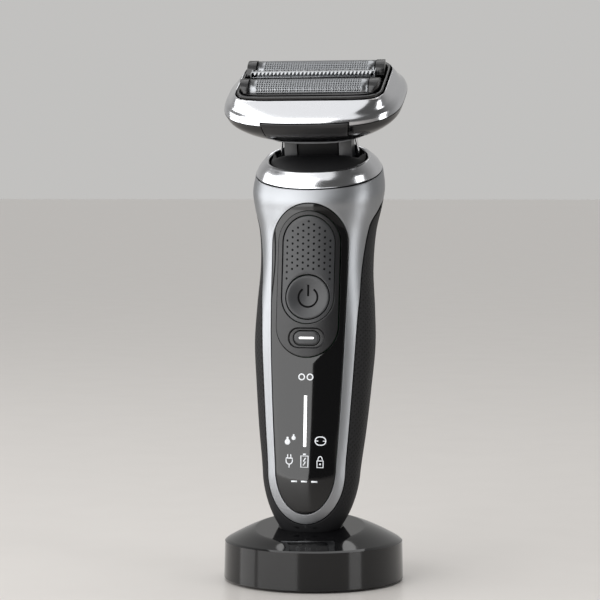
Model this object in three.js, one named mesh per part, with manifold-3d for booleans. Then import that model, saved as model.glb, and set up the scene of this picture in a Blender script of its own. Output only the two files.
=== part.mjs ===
// A foil shaver docked in its charging stand. Millimetres, +X to the right, +Y to the back, +Z up.
// The shaver's front faces -Y. The origin is on the table, in the middle of the stand's foot.
import * as THREE from "three";
import { mergeVertices } from "three/addons/utils/BufferGeometryUtils.js";
import Module from "manifold-3d";

const wasm = await Module();
wasm.setup();

// ---- Driving dimensions

const gap = 0.3; // between pieces that are fixed to each other
const slip = 0.3; // round pieces that slide or turn
const reach = 60; // longer than anything that a cut has to pass through

const stand = {
  radius: 30,
  draft: 0.3, // how much narrower the wall is at its top
  wallHeight: 13.2,
  lift: 0.5, // the shell stops this far above the table
  wall: 2,
  plateauRadius: 18.3, // the flat disc that the shaver rises from
  plateauY: -6,
  plateauHeight: 18.2,
  plateauTilt: 7.6,
  domeBulge: 1.5,
  pocketGap: 0.45, // round the shaver's tip
};
const foot = { inset: 3, width: 3.5, height: 1.2 };
const basePlate = { thickness: 2.4 };
const standScrew = { inset: 10, shank: 1.2, head: 2.4, headHeight: 0.9, length: 5.8, boss: 3 };
const standBoard = { insetX: 18, insetY: 16, thickness: 1.2 };
const inlet = { half: 5, low: 4.8, high: 9.6, depth: 8, wall: 1.4 };
const inletPin = { radius: 0.75, place: 2.1, length: 4.4 };
const plug = { half: 3.2, deep: 1.9, top: 6.2, flangeHalf: 5.5, flangeDeep: 4, flangeHeight: 2.4 };

const handle = {
  length: 126, // from the tip to the middle of the collar
  tipY: -7,
  tipHeight: 11.4,
  lean: 7.8, // backwards, in degrees
  roundTip: 24, // the height over which the tip rounds off
  tipPower: 1.8,
  wall: 2.4,
  bendFrom: 0.762, // the sections start to lean forward here, as a share of the length
  bendPower: 1.3,
};
// Share of the length, half width, depth in front of the axis and behind it.
const handleStations = [
  [0, 15.7, 11.2, 11.8],
  [0.19, 16.2, 11.4, 12.8],
  [0.317, 17.95, 12.1, 14.1],
  [0.43, 19.2, 13, 15.2],
  [0.54, 20.15, 13.9, 16],
  [0.635, 19.7, 14.2, 15.6],
  [0.746, 18.85, 14.5, 14.5],
  [0.841, 19.6, 14.8, 14.8],
  [0.905, 21.4, 15.6, 16],
  [0.952, 22.3, 16.6, 16.9],
  [1, 21.5, 17, 17],
];
// Share of the length, and how much of the rubber shows beside the metal frame from the front.
const gripStations = [
  [0.2, 3.3],
  [0.33, 4],
  [0.425, 4.25],
  [0.552, 4.35],
  [0.68, 2.7],
  [0.774, 1.7],
  [0.837, 1.3],
  [0.87, 1.1],
  [0.9, 0.3],
  [0.94, -0.4],
  [1, -2],
];
const frontFrame = { low: 7.65, roundTo: 25.2, band: 9 }; // band: what it covers below the collar all round
const lens = { low: 11, roundTo: 26, topDrop: 13, border: 2.35, lowHalf: 10, thickness: 1.2, ledge: 1 };
// Drops are measured down the handle from the middle of the collar.
const bezel = { rim: 1.65, topDrop: 15.6, lowDrop: 63.5, proud: 0.7, flange: 0.75 };
const pad = { border: 1.45, topDrop: 17.1, proud: 0.35 };
const power = { drop: 43.8, radius: 7.25, rim: 0.1, dish: 0.9, thickness: 1.75, stem: 2, travel: 0.8 };
const mode = { drop: 57.3, half: 4.35, high: 2.3, proud: 0.2, travel: 0.5, stem: 1.2 };
const modeWell = { half: 5.75, high: 3 };
const modeLight = { half: 2.6, high: 0.38, depth: 0.8 };
const switches = { half: 3, modeHalf: 2, clear: 0.2 };

const board = { inset: 1, front: 5.7, thickness: 1.5, low: 22, topDrop: 14 };
const display = { half: 8.5, front: 7, thickness: 1, low: 27, drop: 66, guideHalf: 7, guide: 0.7 };
const chassis = { clear: 2.8, thickness: 0.9, low: 16, topDrop: 13, saddle: 4 };
const battery = { radius: 6.9, low: 40, length: 49, tab: 0.5, tabHalf: 2.5 };
const socket = { half: 5.4, deep: 3.9, face: 3.8, top: 10, recessTop: 7.2 };
const socketPin = { radius: 0.6, place: 1.6, low: 4.4 };

const collar = { y: -1.1, tilt: 29.8, half: 21.4, deep: 17, height: 5, midHalf: 20.15, midDeep: 15.8 };
const collarTop = { half: 17.9, deep: 13.8 };
// The lip inside the ring goes on below it as a skirt, inside the handle's wall.
const collarLip = { clearX: 1.4, clearY: 1, drop: 0.3, draft: 0.4, skirt: 1.2, wall: 0.9 };
const boot = { rim: 4.1, rise: 3.2, thickness: 1, openInset: 2.8, openFront: 4, openBack: 8.6, slot: 1.6 };

const neck = { y: 3, deep: 3, rockAxis: -1, hub: 3.2, hubLow: -3.1, hubHigh: 8.7, pin: 1.5 };
const neckBase = { insetX: 0.8, insetY: 1.4, top: -3.2, thickness: 2.8, ear: 2.1, earHalf: 3.2 };
const yoke = { half: 11.5, arm: 4.3, shoulderLow: 1.8, shoulderTop: 4.2, eye: 2.5 };
const wire = { radius: 0.45, y: 3.5, low: 2.6, high: 13.3, inset: 3.4, highPlace: 12.3 };

const head = { y: 3.8, height: 24.9, tilt: 7, half: 30.3, deep: 21.5, depth: 9, wall: 1.6, square: 3 };
const axle = { radius: 1.25, drop: 6.2, half: 15.3, boss: 3, bossDeep: 2.8 };
const tray = { half: 19, deep: 14, thickness: 0.9 };
const neckOpening = { half: 12.2, deep: 5.3 };
const trim = { height: 6, slackX: 0.5, slackY: 0.7 }; // slack: round the cassette
const release = { half: 14.6, lowHalf: 13.6, low: -4.6, high: 0.8, proud: 0.25, thickness: 1.35, travel: 1 };

const stator = { half: 15, deep: 8, top: -0.3, height: 3 };
const coil = { half: 12, deep: 5, wire: 2.5, height: 0.7 };
const bridge = { half: 17, edge: 1.8, low: 1.1, thickness: 1, stroke: 1.2 };
const bridgePin = { radius: 1.2, trimmerRadius: 0.6, top: 6.8 };
const seal = { low: 2.5, thickness: 0.7, slack: 0.5 };

const foil = { radius: 3.9, axis: 5.9, half: 20, thickness: 0.3 };
const holder = { half: 23.4, front: 1.2, back: 0.4, low: 5.4, rail: 7, capOver: 0.2, foilFoot: 0.2 };
const cassette = { low: 3.6, high: 6.8, slackX: 0.4, slackY: 0.3, wallX: 0.8, wallY: 1.2, square: 7 };
const cutter = { half: 17.5, gap: 0.4, low: 5.8, pocketTop: 8.4 };
const trimmer = { half: 21, deep: 1.9, low: 5.6, top: 9.6, wall: 0.45, roof: 0.7, travel: 1, bladeUp: 0.4 };
const comb = { pitch: 2.6, slot: 0.8, slotDeep: 1.2 };

const finishes = {
  satinMetal: { color: 0xb4b6b9, roughness: 0.32, metalness: 1 },
  chrome: { color: 0xd9dadc, roughness: 0.08, metalness: 1 },
  steel: { color: 0xc2c4c6, roughness: 0.3, metalness: 1 },
  foilSteel: { color: 0x9a9c9e, roughness: 0.35, metalness: 1 },
  glossBlack: { color: 0x0b0b0d, roughness: 0.08, metalness: 0 },
  satinBlack: { color: 0x37383b, roughness: 0.45, metalness: 0 },
  mattBlack: { color: 0x1c1d1f, roughness: 0.6, metalness: 0 },
  rubber: { color: 0x2b2c2f, roughness: 0.8, metalness: 0 },
  greyPlastic: { color: 0x8d8f92, roughness: 0.5, metalness: 0 },
  whiteLight: { color: 0xf4f6f8, roughness: 0.4, metalness: 0 },
  circuit: { color: 0x1f5a3a, roughness: 0.6, metalness: 0 },
  cell: { color: 0x3c6e9e, roughness: 0.4, metalness: 0 },
  copper: { color: 0xb06a3a, roughness: 0.4, metalness: 1 },
  brass: { color: 0xc9a24d, roughness: 0.3, metalness: 1 },
};

// ---- Solids

const radians = THREE.MathUtils.degToRad;
const turned = (tilt, y = 0, z = 0) => new THREE.Matrix4().makeRotationX(radians(tilt)).setPosition(0, y, z);

// A closed three.js geometry, placed by a matrix, as a solid that can be joined and cut.
function solidOf(geometry, matrix = new THREE.Matrix4()) {
  const bare = geometry.index ? geometry.toNonIndexed() : geometry.clone();
  bare.deleteAttribute("normal");
  bare.deleteAttribute("uv");
  const merged = mergeVertices(bare.applyMatrix4(matrix), 1e-4);
  return new wasm.Manifold(
    new wasm.Mesh({
      numProp: 3,
      vertProperties: merged.attributes.position.array,
      triVerts: new Uint32Array(merged.index.array),
    }),
  );
}

function geometryOf(solid) {
  const mesh = solid.getMesh();
  return new THREE.BufferGeometry()
    .setAttribute("position", new THREE.BufferAttribute(mesh.vertProperties, 3))
    .setIndex(new THREE.BufferAttribute(mesh.triVerts, 1));
}

const placed = (solid, matrix) => solidOf(geometryOf(solid), matrix);
const joined = (...solids) => solids.reduce((a, b) => a.add(b));
const cut = (solid, ...tools) => tools.reduce((a, b) => a.subtract(b), solid);

function piece(frame, name, finish, solid) {
  const mesh = new THREE.Mesh(geometryOf(solid), new THREE.MeshStandardMaterial(finishes[finish]));
  mesh.name = name;
  frame.add(mesh);
}

function block([x0, x1], [y0, y1], [z0, z1]) {
  const middle = new THREE.Matrix4().makeTranslation((x0 + x1) / 2, (y0 + y1) / 2, (z0 + z1) / 2);
  return solidOf(new THREE.BoxGeometry(x1 - x0, y1 - y0, z1 - z0), middle);
}

// A round bar between two points.
function rod(radius, start, end, sides = 16) {
  const from = new THREE.Vector3(...start);
  const along = new THREE.Vector3(...end).sub(from);
  const turn = new THREE.Quaternion().setFromUnitVectors(
    new THREE.Vector3(0, 1, 0),
    along.clone().normalize(),
  );
  const matrix = new THREE.Matrix4().compose(
    from.addScaledVector(along, 0.5),
    turn,
    new THREE.Vector3(1, 1, 1),
  );
  return solidOf(new THREE.CylinderGeometry(radius, radius, along.length(), sides), matrix);
}

function extruded(shape, depth) {
  return new THREE.ExtrudeGeometry(shape, { depth, bevelEnabled: false, curveSegments: 6 });
}

// An outline in x and z, pushed through from y0 to y1.
function prism(shape, y0, y1) {
  const upright = new THREE.Matrix4().makeRotationX(Math.PI / 2).setPosition(0, y1, 0);
  return solidOf(extruded(shape, y1 - y0), upright);
}

// An outline in x and y, raised from z0 to z1.
function slab(shape, z0, z1) {
  return solidOf(extruded(shape, z1 - z0), new THREE.Matrix4().makeTranslation(0, 0, z0));
}

// An outline in y and z, pushed through from x0 to x1.
function cheek(shape, x0, x1) {
  const side = new THREE.Matrix4().set(0, 0, 1, x0, 1, 0, 0, 0, 0, 1, 0, 0, 0, 0, 0, 1);
  return solidOf(extruded(shape, x1 - x0), side);
}

// Points round an oval whose corners square up as square rises above 2.
function oval({ half, front, back = front, square = 2 }, count = 40) {
  const bulge = (value) => Math.sign(value) * Math.abs(value) ** (2 / square);
  return Array.from({ length: count }, (_, i) => {
    const turn = (i / count) * 2 * Math.PI;
    const deep = Math.sin(turn);
    return new THREE.Vector2(half * bulge(Math.cos(turn)), (deep < 0 ? front : back) * bulge(deep));
  });
}

function ring(outline, { y = 0, z = 0, tilt = 0 }) {
  const lean = turned(tilt, y, z);
  return outline.map((p) => new THREE.Vector3(p.x, p.y, 0).applyMatrix4(lean));
}

// A solid from its corner points and its triangles.
function skinned(points, faces) {
  return solidOf(new THREE.BufferGeometry().setFromPoints(points).setIndex(faces));
}

// The triangles between two rings of points that start at low and at high.
function sideFaces(count, low, high) {
  return Array.from({ length: count }, (_, i) => {
    const next = (i + 1) % count;
    return [low + i, low + next, high + next, low + i, high + next, high + i];
  }).flat();
}

// A body through rings listed from the bottom up, closed by a flat fan at each end.
function loft(rings) {
  const count = rings[0].length;
  const middle = (points) => points.reduce((a, b) => a.clone().add(b)).divideScalar(count);
  const points = [...rings.flat(), middle(rings[0]), middle(rings.at(-1))];
  const [bottom, top] = [rings.length * count, rings.length * count + 1];
  const faces = rings.slice(1).flatMap((_, r) => sideFaces(count, r * count, (r + 1) * count));
  for (let i = 0; i < count; i++) {
    const next = (i + 1) % count;
    const last = (rings.length - 1) * count;
    faces.push(bottom, next, i, top, last + i, last + next);
  }
  return skinned(points, faces);
}

// A ring-shaped body: its section goes up the outside, over, and down the inside.
function sleeve(rings) {
  const count = rings[0].length;
  const faces = rings.flatMap((_, r) => sideFaces(count, r * count, ((r + 1) % rings.length) * count));
  return skinned(rings.flat(), faces);
}

// ---- Outlines

function bar(half, high, z) {
  const shape = new THREE.Shape();
  shape.absarc(half - high, z, high, -Math.PI / 2, Math.PI / 2);
  shape.absarc(-(half - high), z, high, Math.PI / 2, (3 * Math.PI) / 2);
  return shape;
}

// An upright shape with round ends.
function capsule(half, low, high) {
  const shape = new THREE.Shape();
  shape.absarc(0, high - half, half, 0, Math.PI);
  shape.absarc(0, low + half, half, Math.PI, 2 * Math.PI);
  return shape;
}

const disc = (radius) => new THREE.Shape(oval({ half: radius, front: radius }, 32));

// ---- The handle's form

function stationCurve(stations) {
  const heights = stations.map((s) => s[0] * handle.length);
  const values = stations.flatMap((s) => s.slice(1));
  return new THREE.CubicInterpolant(heights, values, stations[0].length - 1);
}
const handleCurve = stationCurve(handleStations);
const gripCurve = stationCurve(gripStations);

function collarLean(height) {
  const from = handle.bendFrom * handle.length;
  const share = Math.max(0, (height - from) / (handle.length - from));
  return Math.min(1, share ** handle.bendPower);
}

// The tip rounds from nothing to full width over its first stretch.
function tipShare(height, out) {
  const left = 1 - Math.min(1, (height + out) / (handle.roundTip + out));
  return (1 - left ** handle.tipPower) ** (1 / handle.tipPower);
}

function handleRing(height, out, count) {
  const [half, front, back] = handleCurve.evaluate(Math.max(0, height));
  const share = tipShare(height, out);
  const lean = collarLean(height);
  const square = 2.2 + 0.3 * Math.sin(Math.PI * Math.min(1, Math.max(0, height) / handle.length));
  const outline = oval(
    { half: (half + out) * share, front: (front + out) * share, back: (back + out) * share, square },
    count,
  );
  return ring(outline, { y: collar.y * lean, z: height, tilt: collar.tilt * lean });
}

// The handle's surface moved out by a distance, and ending past the collar by another.
// Inside surfaces have fewer facets.
function handleSkin(out, beyond = 0) {
  const fine = out > -1;
  const count = fine ? 30 : 22;
  const round = handle.roundTip + out;
  const tip = [0.08, 0.22, 0.4, 0.6, 0.8, 1].map((t) => round * t ** 1.6 - out);
  const steps = fine ? 11 : 7;
  const stretch = (handle.length - handle.roundTip) / steps;
  const body = Array.from({ length: steps }, (_, i) => handle.roundTip + stretch * (i + 1));
  const rings = [...tip, ...body].map((height) => handleRing(height, out, count));
  if (beyond) {
    const up = new THREE.Vector3(0, 0, beyond).applyMatrix4(turned(collar.tilt));
    rings.push(rings.at(-1).map((p) => p.clone().add(up)));
  }
  return loft(rings);
}

const layer = (outer, inner) => handleSkin(outer).subtract(handleSkin(inner, 1));
const collarPlace = turned(collar.tilt, collar.y, handle.length);
const handlePlace = turned(-handle.lean, handle.tipY, handle.tipHeight);

// Half the width of the metal frame, seen from the front.
const frameHalf = (height) => handleCurve.evaluate(height)[0] - gripCurve.evaluate(height)[0];

function frameOutline(grow) {
  const side = Array.from({ length: 15 }, (_, i) => {
    const height = frontFrame.roundTo + ((handle.length - frontFrame.roundTo) * i) / 14;
    return new THREE.Vector2(frameHalf(height) + grow, height);
  });
  const bottom = Array.from({ length: 11 }, (_, i) => {
    const turn = Math.PI * (1 + (i + 1) / 12);
    return new THREE.Vector2(
      side[0].x * Math.cos(turn),
      side[0].y + (side[0].y - frontFrame.low + grow) * Math.sin(turn),
    );
  });
  const left = side.map((p) => new THREE.Vector2(-p.x, p.y)).reverse();
  return new THREE.Shape([...left, ...bottom, ...side]);
}

// What the metal frame covers: its outline in front, and a band all round below the collar.
function frameRegion(grow) {
  const front = prism(frameOutline(grow), -reach, grow);
  const band = block([-reach, reach], [-reach, reach], [-frontFrame.band - grow, reach]);
  return front.add(placed(band, collarPlace));
}

// Each of these surrounds the one before it, from the power button outwards.
const padHalf = power.radius + pad.border;
const bezelHalf = padHalf + bezel.rim;
const lensHalf = bezelHalf + lens.border;

function lensOutline(inset) {
  const [topHalf, lowHalf] = [lensHalf - inset, lens.lowHalf - inset];
  const topMiddle = handle.length - lens.topDrop - lensHalf;
  const middle = (topMiddle + lens.roundTo) / 2;
  const shape = new THREE.Shape();
  shape.absarc(0, topMiddle, topHalf, 0, Math.PI);
  shape.quadraticCurveTo(-topHalf, middle, -lowHalf, lens.roundTo);
  const low = lens.roundTo - lens.low - inset;
  shape.absellipse(0, lens.roundTo, lowHalf, low, Math.PI, 2 * Math.PI);
  shape.quadraticCurveTo(topHalf, middle, topHalf, topMiddle);
  return shape;
}

// The shape behind the front surface that an outline cuts out between two depths.
const inset = (shape, outer, inner) => layer(outer, inner).intersect(prism(shape, -reach, 0));

// ---- Handle pieces

const powerHeight = handle.length - power.drop;
const modeHeight = handle.length - mode.drop;
const bezelShape = (grow) =>
  capsule(bezelHalf + grow, handle.length - bezel.lowDrop - grow, handle.length - bezel.topDrop + grow);
// The pad's lower end runs round the power button at an even width.
const padShape = (grow) =>
  capsule(padHalf + grow, powerHeight - padHalf - grow, handle.length - pad.topDrop + grow);

function frontFrameSolid() {
  const shell = layer(0, -handle.wall).intersect(frameRegion(0));
  const seat = inset(lensOutline(-gap), 1, -lens.thickness - gap);
  const window = inset(lensOutline(lens.ledge), 1, -2 * handle.wall);
  const bezelRoom = inset(bezelShape(bezel.flange + gap / 2), 1, -2 * handle.wall);
  return cut(shell, seat, window, bezelRoom);
}

function rearGripSolid() {
  const shell = cut(layer(0, -handle.wall), frameRegion(gap));
  const hole = block(
    [-socket.half - gap, socket.half + gap],
    [-socket.deep - gap, socket.deep + gap],
    [-1, socket.top],
  );
  return cut(shell, hole);
}

function lensSolid() {
  return cut(inset(lensOutline(0), 0, -lens.thickness), prism(bezelShape(gap), -reach, 0));
}

function bezelSolid() {
  const under = -lens.thickness - gap;
  const ringBody = inset(bezelShape(0), bezel.proud, -handle.wall);
  const flange = inset(bezelShape(bezel.flange), under, -handle.wall);
  const well = inset(bar(modeWell.half, modeWell.high, modeHeight), 2, 0);
  const modeHole = prism(bar(mode.half + slip, mode.high + slip, modeHeight), -reach, 0);
  return cut(joined(ringBody, flange), prism(padShape(gap), -reach, 0), well, modeHole);
}

function padSolid() {
  const hole = rod(power.radius + slip, [0, -reach, powerHeight], [0, 0, powerHeight], 28);
  return cut(inset(padShape(0), pad.proud, -handle.wall), hole);
}

const frontDepth = (height) => handleCurve.evaluate(height)[1];

function powerButtonSolid() {
  const face = -frontDepth(powerHeight) + power.rim;
  const back = face + power.thickness;
  const stemEnd = -switchFront - power.travel - switches.clear;
  const profile = [
    [0, face + power.dish],
    [power.radius * 0.35, face + power.dish * 0.86],
    [power.radius * 0.65, face + power.dish * 0.52],
    [power.radius * 0.9, face],
    [power.radius, face + 0.2],
    [power.radius, back],
    [power.stem, back],
    [power.stem, stemEnd],
    [0, stemEnd],
  ].map(([r, y]) => new THREE.Vector2(r, y));
  const spun = new THREE.LatheGeometry(profile, 28);
  return solidOf(spun, new THREE.Matrix4().makeTranslation(0, 0, powerHeight));
}

function modeButtonSolid() {
  const cap = inset(bar(mode.half, mode.high, modeHeight), mode.proud, -handle.wall + 0.4);
  const slot = inset(
    bar(modeLight.half + gap, modeLight.high + gap, modeHeight),
    2,
    mode.proud - modeLight.depth - gap,
  );
  const stemEnd = -switchFront - mode.travel - switches.clear;
  const stemStart = -frontDepth(modeHeight) + handle.wall - 1;
  const stem = rod(mode.stem, [0, stemStart, modeHeight], [0, stemEnd, modeHeight]);
  return joined(cut(cap, slot), stem);
}

const modeLightSolid = () =>
  inset(bar(modeLight.half, modeLight.high, modeHeight), mode.proud, mode.proud - modeLight.depth);

// ---- Inside the handle

const switchFront = 8.9; // the front of both switches, ahead of the handle's axis
const chassisHalf = handleStations[0][1] - handle.wall - chassis.clear;

function mainBoardSolid() {
  const half = chassisHalf - board.inset;
  const height = [board.low, handle.length - board.topDrop];
  return block([-half, half], [-board.front, -board.front + board.thickness], height);
}

const switchSolid = (half, height) =>
  block([-half, half], [-switchFront, -board.front - gap], [height - half, height + half]);

const displayTop = handle.length - display.drop;
const displayBoardSolid = () =>
  block(
    [-display.half, display.half],
    [-display.front, -display.front + display.thickness],
    [display.low, displayTop],
  );

function lightGuideSolid() {
  const back = -display.front - gap;
  const height = [display.low + 1, displayTop - 1];
  return block([-display.guideHalf, display.guideHalf], [back - display.guide, back], height);
}

const chassisFront = -board.front + board.thickness + gap;
const batteryY = chassisFront + chassis.thickness + gap + battery.radius;

function chassisSolid() {
  const top = handle.length - chassis.topDrop;
  const back = chassisFront + chassis.thickness;
  const plate = block([-chassisHalf, chassisHalf], [chassisFront, back], [chassis.low, top]);
  const saddleHalf = battery.radius + 1.6;
  const saddlePlaces = [battery.low + chassis.saddle, battery.low + battery.length - chassis.saddle];
  const saddles = saddlePlaces.map((z) => {
    const height = [z - chassis.saddle / 2, z + chassis.saddle / 2];
    return block([-saddleHalf, saddleHalf], [back - 0.2, batteryY - 1], height);
  });
  const bed = rod(battery.radius + gap, [0, batteryY, 0], [0, batteryY, handle.length], 32);
  return cut(joined(plate, ...saddles), bed);
}

const batterySolid = () =>
  rod(battery.radius, [0, batteryY, battery.low], [0, batteryY, battery.low + battery.length], 28);

function batteryTabSolid(z) {
  const deep = [batteryY - battery.radius + 0.5, batteryY + 2];
  return block([-battery.tabHalf, battery.tabHalf], deep, [z, z + battery.tab]);
}

// An upright rod in the place of one of the two contact pins.
function socketRod(side, radius, low, high) {
  const x = side * socketPin.place;
  return rod(radius, [x, 0, low], [x, 0, high], 14);
}

function socketSolid() {
  const deep = plug.deep + slip + 0.1;
  const half = plug.half + slip + 0.1;
  const body = block([-socket.half, socket.half], [-socket.deep, socket.deep], [socket.face, socket.top]);
  const recess = block([-half, half], [-deep, deep], [0, socket.recessTop]);
  const bores = [-1, 1].map((side) =>
    socketRod(side, socketPin.radius + gap, socket.recessTop - 1, socket.top + 1),
  );
  return cut(body, recess, ...bores);
}

const socketPinSolid = (side) => socketRod(side, socketPin.radius, socketPin.low, socket.top);

// ---- The collar and what it holds

const collarOval = (half, deep) => oval({ half, front: deep, square: 2.15 }, 32);

const [topHalf, topFront] = handleCurve.evaluate(handle.length);
const skirtHalf = topHalf - handle.wall - collarLip.clearX;
const skirtDeep = topFront - handle.wall - collarLip.clearY;
const lipHalf = skirtHalf - collarLip.wall;
const lipDeep = skirtDeep - collarLip.wall;
const wireLowPlace = lipHalf - wire.inset;

function collarRingSolid() {
  const section = [
    [collar.half, collar.deep, gap],
    [collar.midHalf, collar.midDeep, collar.height * 0.52],
    [collarTop.half, collarTop.deep, collar.height],
    [lipHalf, lipDeep, collar.height - collarLip.drop],
    [lipHalf - collarLip.draft, lipDeep - collarLip.draft, -collarLip.skirt],
    [skirtHalf, skirtDeep, -collarLip.skirt],
    [skirtHalf, skirtDeep, gap],
  ];
  return sleeve(section.map(([half, deep, z]) => ring(collarOval(half, deep), { z })));
}

// A low cone with an opening for the neck and a slot on each side for the spring wires.
function bootSolid() {
  const [outHalf, outDeep] = [lipHalf - collarLip.draft - gap, lipDeep - collarLip.draft - gap];
  const open = oval({ half: lipHalf - boot.openInset, front: boot.openFront, back: boot.openBack, square: 4 }, 32);
  const rise = boot.rim + boot.rise;
  const section = [
    ring(collarOval(outHalf, outDeep), { z: boot.rim }),
    ring(open, { z: rise }),
    ring(open, { z: rise - boot.thickness }),
    ring(collarOval(outHalf, outDeep), { z: boot.rim - boot.thickness }),
  ];
  const slots = [-1, 1].map((side) =>
    rod(boot.slot, [side * wireLowPlace, wire.y, 0], [side * wireLowPlace, wire.y, rise + 2]),
  );
  return cut(sleeve(section), ...slots);
}

function neckBaseSolid() {
  const low = neckBase.top - neckBase.thickness;
  const shape = new THREE.Shape(collarOval(lipHalf - neckBase.insetX, lipDeep - neckBase.insetY));
  const plate = slab(shape, low, neckBase.top);
  const slotHalf = neck.hub + 1.3;
  const [front, back] = [neck.hubLow - slip, neck.hubHigh + slip];
  const slot = block([-slotHalf, slotHalf], [front, back], [low - 1, neckBase.top + 1]);
  const height = [neckBase.top - 0.4, neck.rockAxis + neck.pin + 1.2];
  const ears = [
    [front - neckBase.ear, front],
    [back, back + neckBase.ear],
  ].map((deep) => block([-neckBase.earHalf, neckBase.earHalf], deep, height));
  const bore = rod(neck.pin + gap, [0, -reach, neck.rockAxis], [0, reach, neck.rockAxis]);
  return cut(joined(cut(plate, slot), ...ears), bore);
}

function rockPinSolid() {
  const over = slip + neckBase.ear + 0.3;
  return rod(neck.pin, [0, neck.hubLow - over, neck.rockAxis], [0, neck.hubHigh + over, neck.rockAxis]);
}

// ---- The neck, in the collar's frame

const axleY = head.y + axle.drop * Math.sin(radians(head.tilt));
const axleZ = head.height - axle.drop * Math.cos(radians(head.tilt));

// The neck seen from the side: wide at the shoulder and round about the head's axle.
function neckProfile(low, shrink) {
  const shape = new THREE.Shape();
  shape.moveTo(neck.y - neck.deep + shrink, low);
  shape.lineTo(neck.y + neck.deep - shrink, low);
  shape.lineTo(axleY + yoke.eye - shrink, axleZ);
  shape.absarc(axleY, axleZ, yoke.eye - shrink, 0, Math.PI);
  return shape;
}

function yokeSolid() {
  const hub = rod(neck.hub, [0, neck.hubLow, neck.rockAxis], [0, neck.hubHigh, neck.rockAxis], 28);
  const [front, back] = [neck.y - neck.deep, neck.y + neck.deep];
  const web = block([-neck.hub, neck.hub], [front, back], [neck.rockAxis, yoke.shoulderLow + 0.4]);
  const shoulder = block([-yoke.half, yoke.half], [front, back], [yoke.shoulderLow, yoke.shoulderTop]);
  const arm = neckProfile(yoke.shoulderTop - 0.4, 0);
  const arms = [cheek(arm, -yoke.half, yoke.arm - yoke.half), cheek(arm, yoke.half - yoke.arm, yoke.half)];
  const eye = rod(axle.radius + slip, [-reach, axleY, axleZ], [reach, axleY, axleZ]);
  const bore = rod(neck.pin + slip, [0, -reach, neck.rockAxis], [0, reach, neck.rockAxis]);
  return cut(joined(hub, web, shoulder, ...arms), eye, bore);
}

function neckCoreSolid() {
  const half = yoke.half - yoke.arm - gap;
  const top = axleZ - axle.radius - slip;
  const body = cheek(neckProfile(yoke.shoulderTop + gap, 0.4), -half, half);
  return body.intersect(block([-reach, reach], [-reach, reach], [0, top]));
}

function wireSolid(side) {
  const [low, high] = [side * wireLowPlace, side * wire.highPlace];
  return rod(wire.radius, [low, wire.y, wire.low], [high, wire.y, wire.high], 10);
}

// ---- Places across the head, from the trimmer in the middle outwards

const holderBack = trimmer.deep + gap;
const foilY = holderBack + holder.back + gap + foil.radius;
const holderFront = foilY + foil.radius + gap + holder.front;
const cassetteHalf = holder.half + cassette.slackX + cassette.wallX;
const cassetteDeep = holderFront + cassette.slackY + cassette.wallY;

// ---- The head, in its own frame: its parting plane is z = 0 and +Z points at the skin

function headOval(half, deep, square = head.square, count = 36) {
  return oval({ half, front: deep, square }, count);
}

// The bowl's surface moved out by a distance.
function bowlSkin(out, count = 36) {
  const section = [
    [-9, -10.3, -6.5],
    [-6.5, -5.3, -3.5],
    [-3.5, -1.5, -1.2],
    [-gap, 0, 0],
    [1.5, 0, 0],
  ];
  const scale = head.depth / 9;
  return loft(
    section.map(([z, acrossIn, deepIn]) => {
      const height = z < 0 ? z * scale * (1 + out / head.depth) : z;
      const outline = headOval(head.half + acrossIn + out, head.deep + deepIn + out, head.square, count);
      return ring(outline, { z: height });
    }),
  );
}

function releaseShape(grow) {
  return new THREE.Shape([
    new THREE.Vector2(-release.lowHalf - grow, release.low - grow),
    new THREE.Vector2(release.lowHalf + grow, release.low - grow),
    new THREE.Vector2(release.half + grow, release.high + grow),
    new THREE.Vector2(-release.half - grow, release.high + grow),
  ]);
}

function headHousingSolid() {
  const below = block([-reach, reach], [-reach, reach], [-reach, -gap]);
  const shell = cut(bowlSkin(0), bowlSkin(-head.wall, 24)).intersect(below);
  const bossX = [neckOpening.half + 0.4, neckOpening.half + 0.4 + axle.boss];
  const bossZ = [-head.depth + 0.2, -axle.drop + axle.radius + 1.1];
  const bosses = [bossX, [-bossX[1], -bossX[0]]].map((x) =>
    block(x, [-axle.bossDeep, axle.bossDeep], bossZ),
  );
  const bore = rod(axle.radius + gap, [-reach, 0, -axle.drop], [reach, 0, -axle.drop]).intersect(
    block([-axle.half - 1, axle.half + 1], [-reach, reach], [-reach, reach]),
  );
  const windows = prism(releaseShape(slip), -reach, -head.deep / 2).add(
    prism(releaseShape(slip), head.deep / 2, reach),
  );
  const opening = neckOpeningSolid(-head.depth - 1, -head.depth + head.wall + 0.5);
  return cut(joined(shell, ...bosses), bore, windows, opening);
}

const neckOpeningSolid = (low, high) =>
  block([-neckOpening.half, neckOpening.half], [-neckOpening.deep, neckOpening.deep], [low, high]);

function headTraySolid() {
  const top = -head.depth - gap;
  const low = top - tray.thickness;
  const plate = slab(new THREE.Shape(headOval(tray.half, tray.deep, 2.6)), low, top);
  return cut(plate, neckOpeningSolid(low - 1, top + 1));
}

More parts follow.
